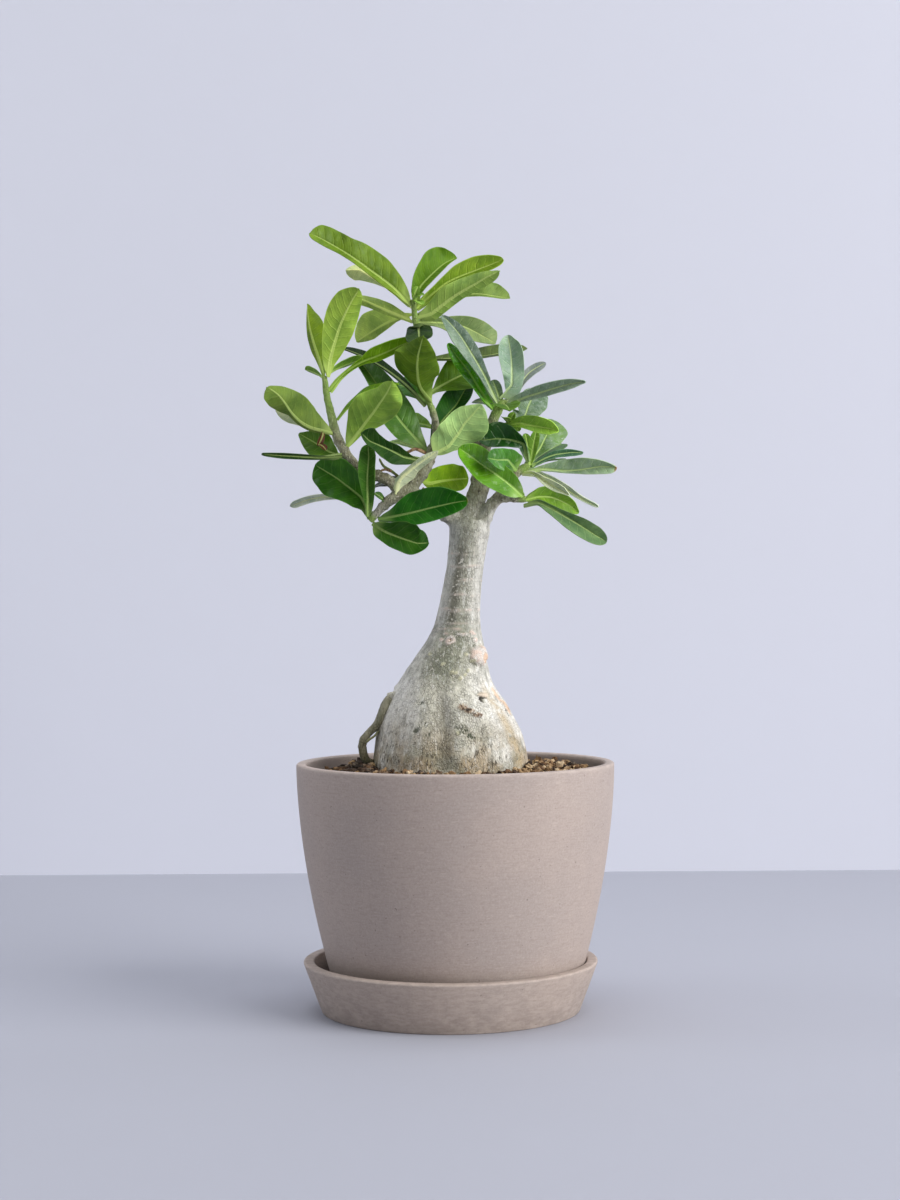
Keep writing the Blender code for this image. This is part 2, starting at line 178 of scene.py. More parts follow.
def close_seams(piece, face_outwards=True):
    """Merges the points that lie on each other and, if asked, turns every face outwards."""
    activate(piece)
    bpy.ops.object.mode_set(mode="EDIT")
    bpy.ops.mesh.select_all(action="SELECT")
    bpy.ops.mesh.remove_doubles(threshold=WELD)
    if face_outwards:
        bpy.ops.mesh.normals_make_consistent(inside=False)
    bpy.ops.object.mode_set(mode="OBJECT")


def new_grid(name, columns, rows):
    """A grid of points from -1 to 1, and where its points are."""
    deselect()
    bpy.ops.mesh.primitive_grid_add(x_subdivisions=columns, y_subdivisions=rows, size=2)
    piece = bpy.context.object
    piece.name = piece.data.name = name
    return piece, points_of(piece.data)


def apply_modifier(piece, kind, **settings):
    activate(piece)
    modifier = piece.modifiers.new(kind.lower(), kind)
    for key, value in settings.items():
        setattr(modifier, key, value)
    bpy.ops.object.modifier_apply(modifier=modifier.name)


def hand_over(piece, slot, *nodes):
    """Gives a finished piece to the frame."""
    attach(piece, BODY)
    if nodes:
        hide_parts(*nodes)


def copy_of(node, name):
    """A separate, merged copy of a solid's mesh."""
    piece = bpy.data.objects.new(name, frame["nodes"][node].data.copy())
    bpy.context.scene.collection.objects.link(piece)
    piece.data.materials.clear()
    close_seams(piece, face_outwards=False)
    return piece


def points_of(mesh):
    found = np.zeros(len(mesh.vertices) * 3)
    mesh.vertices.foreach_get("co", found)
    return found.reshape(-1, 3)


def normals_of(mesh):
    found = np.zeros(len(mesh.vertices) * 3)
    mesh.vertex_normals.foreach_get("vector", found)
    return found.reshape(-1, 3)


def unit(rows):
    return rows / np.linalg.norm(rows, axis=1)[:, None]


def tinted(tint, factors):
    return tuple(c * k for c, k in zip(tint, factors))


def toned(tint, factor, added=0.0):
    """A colour made darker or lighter, no brighter than white."""
    return tuple(min(1, c * factor + added) for c in tint)


def place_points(mesh, points):
    mesh.vertices.foreach_set("co", points.ravel())
    mesh.update()


def keep_values(mesh, name, values):
    """Stores one number a point, for a material to read."""
    attribute = mesh.attributes.new(name, "FLOAT", "POINT")
    attribute.data.foreach_set("value", np.asarray(values, float))


def ease(low, high, value):
    """0 below low, 1 above high and smooth between."""
    t = np.clip((value - low) / (high - low), 0, 1)
    return t * t * (3 - 2 * t)


def glide(known, values, wanted):
    """A smooth curve through known values that never swings past them."""
    known, values, wanted = (np.asarray(a, float) for a in (known, values, wanted))
    rise = np.diff(values) / np.diff(known)
    slope = np.concatenate([[rise[0]], np.zeros(len(rise) - 1), [rise[-1]]])
    same = rise[:-1] * rise[1:] > 0
    mean = 2 * rise[:-1] * rise[1:] / np.where(same, rise[:-1] + rise[1:], 1)
    slope[1:-1] = np.where(same, mean, 0)
    i = np.clip(np.searchsorted(known, wanted) - 1, 0, len(rise) - 1)
    gap = known[i + 1] - known[i]
    t = np.clip((wanted - known[i]) / gap, 0, 1)
    return (
        values[i] * (1 + 2 * t) * (1 - t) ** 2
        + gap * slope[i] * t * (1 - t) ** 2
        + values[i + 1] * t * t * (3 - 2 * t)
        + gap * slope[i + 1] * t * t * (t - 1)
    )


def glide_through(known, places, wanted):
    """A smooth line through places, one for each known value."""
    return np.stack([glide(known, places[:, k], wanted) for k in range(3)], axis=1)


def roughness_at(points, size, seed=0.0):
    """Smooth random values between about -1 and 1 whose features are size metres across."""
    offset = Vector((seed * 7.3, seed * 3.1, seed * 5.7))
    return np.array([noise.noise(Vector(p) / size + offset) for p in points])


# ---- material helpers ----

# Sockets of a Mix node that mixes colours
MIX_FACTOR, MIX_FIRST, MIX_SECOND, MIX_RESULT = 0, 6, 7, 2


class Value:
    """A shader number that takes part in sums; each sum adds its Math node."""

    def __init__(self, finish, socket):
        self.finish = finish
        self.socket = socket

    def __add__(self, other):
        return self.finish.sum("ADD", self, other)

    __radd__ = __add__

    def __sub__(self, other):
        return self.finish.sum("SUBTRACT", self, other)

    def __rsub__(self, other):
        return self.finish.sum("SUBTRACT", other, self)

    def __mul__(self, other):
        return self.finish.sum("MULTIPLY", self, other)

    __rmul__ = __mul__

    def __truediv__(self, other):
        return self.finish.sum("DIVIDE", self, other)

    def __abs__(self):
        return self.finish.sum("ABSOLUTE", self)

    def fraction(self):
        return self.finish.sum("FRACT", self)


class Finish:
    """A procedural material under construction."""

    def __init__(self, name, **constants):
        self.material = bpy.data.materials.new(name)
        self.material.use_nodes = True
        self.tree = self.material.node_tree
        self.shader = self.tree.nodes["Principled BSDF"]
        for key, value in constants.items():
            self.shader.inputs[key.replace("_", " ").title().replace("Ior", "IOR")].default_value = value
        self.place = self.node("ShaderNodeTexCoord", output="Object")

    def node(self, kind, settings=None, inputs=None, output=0):
        """Adds a node and returns one of its outputs."""
        made = self.tree.nodes.new(kind)
        for key, value in (settings or {}).items():
            if key == "stops":
                ramp = made.color_ramp.elements
                while len(ramp) < len(value):
                    ramp.new(0.5)
                for element, (position, shade) in zip(ramp, value):
                    element.position = position
                    element.color = (*shade, 1)
            else:
                setattr(made, key, value)
        for key, value in (inputs or {}).items():
            self.connect(made.inputs[key], value)
        return Value(self, made.outputs[output])

    def connect(self, socket, value):
        if isinstance(value, Value):
            self.tree.links.new(value.socket, socket)
        elif socket.type == "RGBA" and len(value) == 3:
            socket.default_value = (*value, 1)
        else:
            socket.default_value = value

    def sum(self, operation, *values):
        return self.node("ShaderNodeMath", {"operation": operation}, dict(enumerate(values)))

    def limited(self, value):
        return self.node("ShaderNodeClamp", None, {"Value": value, "Min": 0.0, "Max": 1.0})

    def eased(self, value, low, high):
        """0 below low, 1 above high and smooth between; falls where low is above high."""
        inputs = {"Value": value, "From Min": low, "From Max": high}
        return self.node("ShaderNodeMapRange", {"interpolation_type": "SMOOTHSTEP"}, inputs)

    def noise(self, size, detail=2.0, stretch=None, rough=0.5, seed=0.0):
        """Soft random values about 0.5 whose features are size metres across."""
        place = self.place
        if stretch or seed:
            inputs = {"Vector": place, "Location": (seed, seed, seed), "Scale": stretch or (1, 1, 1)}
            place = self.node("ShaderNodeMapping", None, inputs)
        inputs = {"Vector": place, "Scale": 1 / size, "Detail": detail, "Roughness": rough}
        return self.node("ShaderNodeTexNoise", None, inputs)

    def patches(self, low, high, *size_and_detail, **more):
        """Soft-edged random patches where the noise passes from low to high."""
        return self.eased(self.noise(*size_and_detail, **more), low, high)

    def mix(self, factor, first, second, blend="MIX"):
        """A colour a share factor of the way from the first to the second."""
        inputs = {MIX_FACTOR: factor, MIX_FIRST: first, MIX_SECOND: second}
        return self.node("ShaderNodeMix", {"data_type": "RGBA", "blend_type": blend}, inputs, MIX_RESULT)

    def multiplied(self, tint, factors):
        return self.mix(1.0, tint, factors, "MULTIPLY")

    def coat(self, cover, tint):
        """Lays a colour over the shade so far, as thickly as cover says."""
        self.shade = self.mix(cover, self.shade, tint)

    def kept(self, name, kind="Fac"):
        """A number, or with kind Color a colour, that the mesh keeps for each point."""
        return self.node("ShaderNodeAttribute", {"attribute_name": name}, None, kind)

    def finish(self, roughness, height, depth, strength):
        """Connects the shade, the roughness and a bump of the height."""
        self.connect(self.shader.inputs["Base Color"], self.shade)
        self.connect(self.shader.inputs["Roughness"], roughness)
        inputs = {"Height": height, "Distance": depth, "Strength": strength}
        self.connect(self.shader.inputs["Normal"], self.node("ShaderNodeBump", None, inputs))
        return self.material


# ---- pot and saucer ----


def clay_finish(name, main, dark, worn):
    """Matte pressed clay-like plastic with fine flecks, faint level streaks and scuffs, darker towards the
    bottom with grime and painted shade, and with painted shade inside.
    """
    f = Finish(name, metallic=0.0)
    flecks = f.noise(0.0009, 3, rough=0.7)
    streaks = f.noise(0.0032, 3, stretch=(0.6, 0.6, 5.0))
    clouds = f.noise(0.035, 2, seed=4.0)
    f.shade = f.mix(f.eased(clouds, 0.3, 0.75), main, tinted(main, (0.93, 0.95, 0.97)))
    f.coat(f.eased(streaks, 0.45, 0.72) * 0.32, dark)
    f.coat(f.eased(flecks, 0.5, 0.68) * 0.4, dark)
    pale = toned(main, 1.14, 0.045)
    f.coat(f.eased(flecks, 0.47, 0.33) * 0.35, pale)
    specks = f.noise(0.0016, 1, seed=9.0)
    f.coat(f.eased(specks, 0.74, 0.79) * 0.5, toned(dark, 0.35))
    scuff = f.kept("wear") * f.patches(0.38, 0.66, 0.0022, 4, stretch=(0.5, 0.5, 1.6), seed=2.0)
    f.coat(scuff * worn, pale)
    scratch = f.patches(0.66, 0.72, 0.0014, 2, stretch=(0.25, 0.25, 1.0), seed=14.0)
    f.coat(scratch * 0.35, pale)
    # Darker towards the bottom of the pot and the saucer: patchy grime, and on the pot also painted shade
    # down by the saucer.
    grime = f.kept("grime") * f.patches(0.2, 0.8, 0.007, 4, seed=6.0)
    f.coat(grime * 0.4, toned(dark, 0.5))
    # Painted shade inside the pot and saucer, near-black.
    f.coat(f.kept("damp"), (0.035, 0.03, 0.027))
    height = flecks * 0.5 + streaks * 0.3
    return f.finish(0.62 + 0.2 * clouds, height, 0.00025, 0.45)


def rounding(corner, before, after, radius):
    """Points of the round that replaces a corner of an outline."""
    corner, before, after = Vector(corner), Vector(before), Vector(after)
    inward, outward = (before - corner).normalized(), (after - corner).normalized()
    half = inward.angle(outward) / 2
    centre = corner + (inward + outward).normalized() * radius / math.sin(half)
    start = (corner + inward * radius / math.tan(half) - centre).normalized()
    end = (corner + outward * radius / math.tan(half) - centre).normalized()
    return [tuple(centre + start.slerp(end, i / ROUND_STEPS) * radius) for i in range(ROUND_STEPS + 1)]


def rounded(corners):
    """An open outline from (radius, height, rounding) corners."""
    points = []
    for i, (across, height, radius) in enumerate(corners):
        if radius:
            points += rounding((across, height), corners[i - 1][:2], corners[i + 1][:2], radius)
        else:
            points.append((across, height))
    return points


def turn(name, outline, middle):
    """A closed turned body, drawn ring by ring from the middle of its floor over its rim to its underside."""
    deselect()
    radius, height = outline[0]
    bpy.ops.mesh.primitive_circle_add(
        vertices=TURN_SIDES, radius=radius, fill_type="TRIFAN", location=(*middle, height)
    )
    piece = bpy.context.object
    piece.name = piece.data.name = name
    bpy.ops.object.transform_apply(location=True, rotation=True, scale=True)
    bpy.ops.object.mode_set(mode="EDIT")
    bpy.ops.mesh.select_mode(type="EDGE")
    bpy.ops.mesh.select_all(action="DESELECT")
    work = bmesh.from_edit_mesh(piece.data)
    for edge in work.edges:
        edge.select_set(edge.is_boundary)
    bmesh.update_edit_mesh(piece.data)
    for next_radius, next_height in outline[1:]:
        bpy.ops.mesh.extrude_edges_move(TRANSFORM_OT_translate={"value": (0, 0, next_height - height)})
        scale = next_radius / radius
        bpy.ops.transform.resize(value=(scale, scale, 1), center_override=(*middle, next_height))
        radius, height = next_radius, next_height
    bpy.ops.mesh.extrude_edges_move(TRANSFORM_OT_translate={"value": (0, 0, 0)})
    bpy.ops.mesh.merge(type="CENTER")
    bpy.ops.object.mode_set(mode="OBJECT")
    close_seams(piece)
    bpy.ops.object.shade_smooth_by_angle(angle=TURNED_CREASE)
    return piece


def mark_wear_and_shade(piece, edges, grime_and_shade_height, damp):
    """Keeps where the edges are scuffed, a darkening towards the bottom that is partly grime and partly
    painted shade, and the painted shade inside.
    """
    points = points_of(piece.data)
    wear = np.zeros(len(points))
    for height, reach in edges:
        wear = np.maximum(wear, 1 - ease(0.2 * reach, reach, abs(points[:, 2] - height)))
    keep_values(piece.data, "wear", wear)
    keep_values(piece.data, "grime", 1 - ease(0, grime_and_shade_height, points[:, 2] - points[:, 2].min()))
    keep_values(piece.data, "damp", damp(points))


def side_radius(settings, height):
    depth = (POT_HIGH.z - height) / (POT_HIGH.z - POT_LOW.z)
    drop = settings.rim_radius - settings.foot_radius
    return settings.rim_radius - drop * max(depth, 0) ** settings.belly


class DESERT_ROSE_OT_pot(bpy.types.Operator):
    """Makes the tapered pot with its flat lip"""

    bl_idname = "desert_rose.pot"
    bl_label = "Pot"

    def execute(self, context):
        s = context.scene.desert_rose_pot
        edge, foot, floor = 1.2 * MM, 3 * MM, POT_LOW.z + 5 * MM
        heights = np.linspace(floor + 2 * foot, POT_HIGH.z - 2 * edge, INNER_RINGS)
        inner = [(side_radius(s, z) - s.wall, z, 0) for z in heights]
        heights = np.linspace(POT_HIGH.z - 2 * edge, POT_LOW.z + 2 * foot, OUTER_RINGS)
        outer = [(side_radius(s, z), z, 0) for z in heights]
        outline = rounded(
            [
                (HUB, floor, 0),
                (side_radius(s, floor) - s.wall, floor, foot),
                *inner,
                (s.rim_radius - s.wall, POT_HIGH.z, edge),
                (s.rim_radius, POT_HIGH.z, edge),
                *outer,
                (s.foot_radius, POT_LOW.z, foot),
                (HUB, POT_LOW.z, 0),
            ]
        )
        pot = turn("pot_body", outline, POT_MIDDLE)

        # Painted shade on the pot's inner wall below the rim, strongest on the right, the side the key light
        # doesn't reach.
        def damp(points):
            x, y, z = points.T
            side = np.interp(z, heights[::-1], [reach for reach, _, _ in outer][::-1])
            inside = np.hypot(x - POT_MIDDLE[0], y - POT_MIDDLE[1]) < side - 0.6 * s.wall
            below_rim = 1 - ease(POT_HIGH.z - 3.2 * MM, POT_HIGH.z - 1.2 * MM, z)
            return inside * below_rim * (0.1 + 0.6 * ease(-0.02, 0.03, x))

        mark_wear_and_shade(pot, [(POT_HIGH.z, 2 * MM)], 32 * MM, damp)
        pot.data.materials.append(clay_finish("pot_clay", tuple(s.clay), tuple(s.clay_dark), 0.45))
        hand_over(pot, SLOT_OF["pot"], "pot")
        return {"FINISHED"}


class DESERT_ROSE_OT_saucer(bpy.types.Operator):
    """Makes the flared saucer"""

    bl_idname = "desert_rose.saucer"
    bl_label = "Saucer"

    def execute(self, context):
        s = context.scene.desert_rose_pot
        edge, floor, top = 0.9 * MM, 5 * MM, SAUCER_HIGH.z
        outline = rounded(
            [
                (HUB, floor, 0),
                (SAUCER_FLOOR_RADIUS, floor, edge),
                (s.saucer_rim - s.saucer_wall, top, edge),
                (s.saucer_rim, top, edge),
                (s.saucer_foot, 0, edge),
                (HUB, 0, 0),
            ]
        )
        saucer = turn("saucer_body", outline, SAUCER_MIDDLE)

        # Painted shade inside the saucer, seen in the gap round the pot.
        def damp(points):
            x, y, z = points.T
            drop = (top - z) / top * (s.saucer_rim - s.saucer_foot)
            within = s.saucer_rim - drop - 0.6 * s.saucer_wall
            inside = np.hypot(x - SAUCER_MIDDLE[0], y - SAUCER_MIDDLE[1]) < within
            return inside * (1 - ease(top - 4 * MM, top - 1.5 * MM, z)) * 0.9

        mark_wear_and_shade(saucer, [(top, 2.2 * MM), (0, 2 * MM)], 7 * MM, damp)
        clay = tinted(s.clay, SAUCER_TINT)
        saucer.data.materials.append(clay_finish("saucer_clay", clay, tuple(s.clay_dark), 0.6))
        hand_over(saucer, SLOT_OF["saucer"], "saucer")
        return {"FINISHED"}


# ---- grit ----

GRIT_STOPS = [
    (0.0, (0.018, 0.011, 0.006)),
    (0.22, (0.055, 0.028, 0.013)),
    (0.45, (0.15, 0.078, 0.032)),
    (0.65, (0.28, 0.17, 0.077)),
    (0.85, (0.44, 0.3, 0.15)),
    (1.0, (0.6, 0.46, 0.29)),
]
# Shapes of grain, and seeds of the random numbers
GRAIN_KINDS = 12
GRIT_SEED, SCAR_SEED, LEAF_SEEDS, SMALL_LEAF_SEEDS = 11, 5, 100, 300
# Shade up to which a grain counts as a dark, long chip, and the share of such chips on the right and left
DARK_GRAIN = 0.32
DARK_RIGHT, MORE_DARK_LEFT = 0.16, 0.62
# Height at which the grit meets the pot, and the lowest soil that has grit
GRIT_LEVEL, LOWEST_GRIT = SOIL_HIGH.z - 4 * MM, SOIL_HIGH.z - 8 * MM
# Share of the area, round the middle, that has no grit
BARE_SHARE = 0.2
# How far a grain's middle keeps from the pot and the wood, as a share of its size
FROM_POT, FROM_WOOD = 0.45, 0.3
# Heaps and a hollow of the grit: x, y, half width across and in depth, height, in metres
HEAPS = [
    (0.056, 0.012, 0.015, 0.024, 0.0034),
    (-0.043, -0.008, 0.009, 0.014, 0.0036),
    (0.0, -0.05, 0.028, 0.012, -0.002),
]


def heaped(x, y):
    """How much each heap or hollow adds at a place."""
    return [
        height * math.exp(-(((x - across) / wide) ** 2) - ((y - back) / deep) ** 2)
        for across, back, wide, deep, height in HEAPS
    ]


def grit_finish():
    f = Finish("grit", metallic=0.0)
    grain = f.noise(0.0009, 3, rough=0.7)
    position = f.kept("shade") + (grain - 0.5) * 0.35
    f.shade = f.node("ShaderNodeValToRGB", {"stops": GRIT_STOPS}, {"Fac": position})
    dust = f.patches(0.52, 0.7, 0.004, 2, seed=3.0)
    f.coat(dust * 0.25, (0.5, 0.4, 0.29))
    return f.finish(0.86 + 0.1 * grain, grain, 0.0004, 0.8)


def grain_shapes(count, rng):
    """Angular pebbles, one unit across, each from a ball whose points are moved."""
    shapes = []
    for number in range(count):
        deselect()
        bpy.ops.mesh.primitive_ico_sphere_add(subdivisions=1 + number % 2, radius=0.5)
        ball = bpy.context.object
        points = points_of(ball.data)
        bumps = np.array([rng.uniform(0.5, 1.2) for _ in points])
        squash = np.array([rng.uniform(0.7, 1), rng.uniform(0.55, 0.9), rng.uniform(0.5, 0.85)])
        faces = [tuple(face.vertices) for face in ball.data.polygons]
        shapes.append((points * bumps[:, None] * squash, faces))
        bpy.data.objects.remove(ball)
    return shapes


def make_grain(shapes, size, leftness, rng):
    """A grain's points about its middle, its faces and its shade."""
    base, sides = shapes[rng.randrange(len(shapes))]
    spin = Vector((rng.gauss(0, 1), rng.gauss(0, 1), rng.gauss(0, 0.45))).normalized()
    turned = np.array(Vector((0, 0, 1)).rotation_difference(spin).to_matrix())
    shade = min(max(rng.gauss(0.6, 0.22), 0.05), 1)
    if rng.random() < DARK_RIGHT + MORE_DARK_LEFT * leftness:
        shade = rng.uniform(0.0, DARK_GRAIN)
    long = rng.uniform(1.0, 1.5) if shade > DARK_GRAIN else rng.uniform(1.2, 2.1)
    stretch = np.array([rng.uniform(0.5, 0.85), rng.uniform(0.5, 0.8), long])
    return (base * size * stretch) @ turned.T, sides, shade


class DESERT_ROSE_OT_grit(bpy.types.Operator):
    """Strews loose grit over the soil and gives the filling its colour"""

    bl_idname = "desert_rose.grit"
    bl_label = "Grit"

    def execute(self, context):
        s = context.scene.desert_rose_grit
        soil = frame["nodes"]["soil"]
        soil.data.materials.clear()
        soil.data.materials.append(soil_finish())
        rng = random.Random(GRIT_SEED)
        shapes = grain_shapes(GRAIN_KINDS, rng)
        top = surface_of("soil")
        wood = surface_of("woody_body")
        pot = context.scene.desert_rose_pot
        inside = side_radius(pot, GRIT_LEVEL) - pot.wall
        points, faces, shades = [], [], []
        grains_left = s.grains
        while grains_left:
            radius = inside * math.sqrt(rng.uniform(BARE_SHARE, 1))
            angle = rng.uniform(0, math.tau)
            x, y = POT_MIDDLE[0] + radius * math.cos(angle), radius * math.sin(angle)
            leftness = ease(0.01, -0.05, x)
            size = s.smallest + (s.largest - s.smallest) * rng.random() ** (2.4 - 1.3 * leftness)
            if radius > inside - FROM_POT * size:
                continue
            hit = top.ray_cast(Vector((x, y, SOIL_HIGH.z + 0.01)), Vector((0, 0, -1)))
            if hit[0] is None:
                continue
            height = hit[0].z
            if height < LOWEST_GRIT:
                continue
            heap = sum(h * rng.random() if h > 0 else h for h in heaped(x, y))
            uneven = 1.2 * MM * max(0, noise.noise(Vector((x, y, 0)) * 60))
            middle = Vector((x, y, height + heap + uneven + size * rng.uniform(-0.1, 0.3)))
            if wood.find_nearest(middle)[3] < FROM_WOOD * size:
                continue
            grain, sides, shade = make_grain(shapes, size, leftness, rng)
            start = len(points)
            points.extend(map(tuple, grain + np.array(middle)))
            faces.extend(tuple(start + i for i in side) for side in sides)
            shades.extend([shade] * len(grain))
            grains_left -= 1
        mesh = bpy.data.meshes.new("grit")
        mesh.from_pydata(points, [], faces)
        mesh.update()
        keep_values(mesh, "shade", shades)
        grit = bpy.data.objects.new("grit", mesh)
        context.scene.collection.objects.link(grit)
        activate(grit)
        bpy.ops.object.shade_smooth_by_angle(angle=GRAIN_CREASE)
        mesh.materials.append(grit_finish())
        hand_over(grit, SLOT_OF["soil"])
        return {"FINISHED"}


def soil_finish():
    """Dark moist fines that show between the grains."""
    f = Finish("soil_fines", metallic=0.0)
    crumbs = f.noise(0.0016, 4, rough=0.7)
    stops = [(0.3, (0.016, 0.01, 0.006)), (0.5, (0.07, 0.038, 0.018)), (0.66, (0.24, 0.14, 0.065))]
    f.shade = f.node("ShaderNodeValToRGB", {"stops": stops}, {"Fac": crumbs})
    return f.finish(0.9 + 0.05 * crumbs, crumbs, 0.0015, 1.0)


def surface_of(node):
    """A solid's surface, to look for its nearest point or for what a ray meets."""
    mesh = frame["nodes"][node].data
    return BVHTree.FromPolygons([v.co for v in mesh.vertices], [p.vertices for p in mesh.polygons])


# ---- bark ----

# Heights between which the base and trunk are rounded, in metres: in the soil, and where the branches part
BURIED = 0.112
KNUCKLE = 0.222
# Upright grooves of the swollen base: azimuth at the soil and above it in degrees, half width, depth, top
GROOVES = [
    (-6, -7, 8, 2.5, 160),
    (57, 49, 9, 1.3, 150),
    (25, 20, 14, 0.5, 150),
    (-50, -43, 12, 0.9, 152),
    (-104, -108, 11, 1.6, 158),
    (-152, -158, 10, 1.4, 150),
    (163, 168, 11, 1.7, 160),
    (104, 98, 9, 1.9, 156),
]
# Scars of the base and trunk: azimuth, height, half width round, half width up, rise, what it is. The dark
# marks are sunken cracks painted near-black, partly their own dark and partly painted shade; the thin one
# just below the lip is a painted shadow under it.
SCARS = [
    (52, 167.0, 6.6, 5.2, 2.7, "pale"),
    (60, 165.4, 2.6, 3.2, -0.7, "tan"),
    (57, 166.2, 1.5, 1.9, 0.3, "pale"),
    (-9, 174.3, 2.6, 2.3, 0.8, "pale"),
    (-9, 174.4, 1.1, 1.0, -0.6, "crust"),
    (46, 174.3, 1.8, 1.3, 0.6, "pale"),
    (-29, 174.6, 1.4, 0.8, 0.5, "pale"),
    (38, 178.0, 1.6, 1.0, 0.5, "pale"),
    (-40, 167.8, 1.1, 1.0, 0.8, "nub"),
    (-10, 163.1, 1.1, 1.0, 0.9, "nub"),
    (6.5, 159.6, 1.4, 1.0, 0.9, "nub"),
    (12.5, 159.2, 1.1, 0.9, 0.8, "nub"),
    (29, 160.3, 1.2, 1.0, 0.8, "nub"),
    (18, 156.6, 1.3, 1.0, 0.8, "nub"),
    (25, 158.2, 1.1, 0.8, 0.7, "nub"),
    (24, 167.6, 1.2, 0.8, 0.7, "nub"),
    (35, 164.6, 1.2, 0.9, 0.8, "nub"),
    (14, 143.8, 2.6, 1.7, 0.9, "crust"),
    (19, 142.2, 3.0, 1.4, 0.9, "crust"),
    (26, 140.2, 3.0, 1.3, 0.6, "crust"),
    (17, 142.4, 1.8, 0.5, -0.9, "dark"),
    (22, 140.8, 1.6, 0.4, -0.8, "dark"),
    (42.5, 148.9, 3.4, 1.3, 1.1, "lip"),
    (37.5, 146.8, 1.2, 1.5, -1.0, "dark"),
    (41.5, 147.4, 2.6, 0.35, -0.7, "dark"),
    (66, 148.6, 1.7, 4.4, 0.6, "tan"),
    (71, 142.6, 2.2, 4.2, 0.6, "tan"),
    (66, 140.4, 0.55, 2.2, -0.9, "dark"),
    (72, 140.2, 0.6, 2.4, -0.9, "dark"),
    (76, 141.4, 0.5, 1.6, -0.7, "dark"),
    (-29, 145.6, 2.6, 1.0, -0.25, "moss"),
    (-24, 149.0, 1.6, 0.7, -0.2, "moss"),
    (-24, 135.4, 2.6, 1.9, -0.2, "moss"),
    (-29, 133.0, 1.8, 1.4, -0.2, "moss"),
    (-19, 131.0, 1.4, 1.2, -0.2, "moss"),
    (9, 133.6, 3.6, 2.3, -0.3, "moss"),
    (16, 130.4, 2.8, 1.6, -0.3, "moss"),
    (6, 132.2, 1.0, 1.2, 0.6, "nub"),
    (-140, 160.0, 3.4, 4.0, 1.1, "pale"),
    (150, 148.0, 4.0, 2.0, 0.6, "crust"),
    (-170, 171.0, 2.2, 2.4, 0.6, "pale"),
    (118, 139.0, 2.0, 4.8, 0.4, "tan"),
    (-95, 152.0, 1.6, 1.4, 0.5, "nub"),
    (170, 136.0, 3.6, 2.0, -0.2, "moss"),
]
# Swellings of the base: azimuth, height, half width in degrees, half height, rise
SWELLINGS = [(-92, 139, 30, 12, 2.5)]
# Leaf-scar rings round the trunk: height and how pale
RINGS = [
    (177.0, 1.2), (179.4, 0.7), (182.5, 0.4), (188.4, 1.0), (195, 0.6), (202.5, 0.8), (209, 0.5), (214.5, 0.9)
]
# Ends of the green shoots: x, y, z and how far the green reaches
SHOOTS = [
    (-16.5, -2, 336, 34),
    (-58.5, -4, 299, 34),
    (27, 4, 287.5, 15),
    (-9, 2, 290, 12),
    (38, 0, 256.5, 8),
    (36, -5.5, 240.3, 5),
    (-37.2, -8.6, 230, 5),
    (28, -2, 275.5, 9),
    (11, 2, 270, 4),
]
MARKS = ("pale", "crust", "tan", "dark", "moss", "nub", "lip")
# Old leaf scars on the branches: points tried and least distance apart
SCAR_TRIES, SCAR_SPACING = 2600, 3.9 * MM
# Directions in which the trunk is measured, and the height between two measurements
SPOKES, RING_STEP = 24, 1.5 * MM


def degrees_from(line, azimuth):
    """How far round from a line the azimuths are, from -180 to 180."""
    return (azimuth - line + 180) % 360 - 180


def trunk_rings():
    """Height, middle and radius of the trunk at steps up the solid."""
    surface = surface_of("woody_body")
    angles = np.linspace(0, math.tau, SPOKES, endpoint=False)
    spokes = [Vector((math.cos(a), math.sin(a), 0)) for a in angles]
    middle = Vector((0, 0, 0))
    rings = []
    for height in np.arange(BURIED, KNUCKLE, RING_STEP):
        middle.z = height
        reach = np.array([surface.ray_cast(middle, spoke)[3] or 0 for spoke in spokes])
        typical = np.median(reach)
        reach = np.clip(reach, 0.93 * typical, 1.07 * typical)
        middle += sum((spoke * r for spoke, r in zip(spokes, reach)), Vector((0, 0, 0))) * 2 / SPOKES
        rings.append((height, middle.x, middle.y, reach.mean()))
    rings = np.array(rings)
    kernel = np.exp(-0.5 * (np.arange(-5, 6) / 2.2) ** 2)
    kernel /= kernel.sum()
    for column in (1, 2, 3):
        padded = np.pad(rings[:, column], 5, mode="reflect", reflect_type="odd")
        rings[:, column] = np.convolve(padded, kernel, "valid")
    return rings


def groove_depth(azimuth, height):
    """Depth of the grooves, in millimetres."""
    depth = np.zeros(len(azimuth))
    for low, high, width, deep, top in GROOVES:
        line = low + (high - low) * np.clip((height - 118) / 32, 0, 1.3)
        apart = degrees_from(line, azimuth)
        fade = 1 - ease(top - 22, top, height)
        depth += deep * fade * np.exp(-((apart / width) ** 2))
    return depth


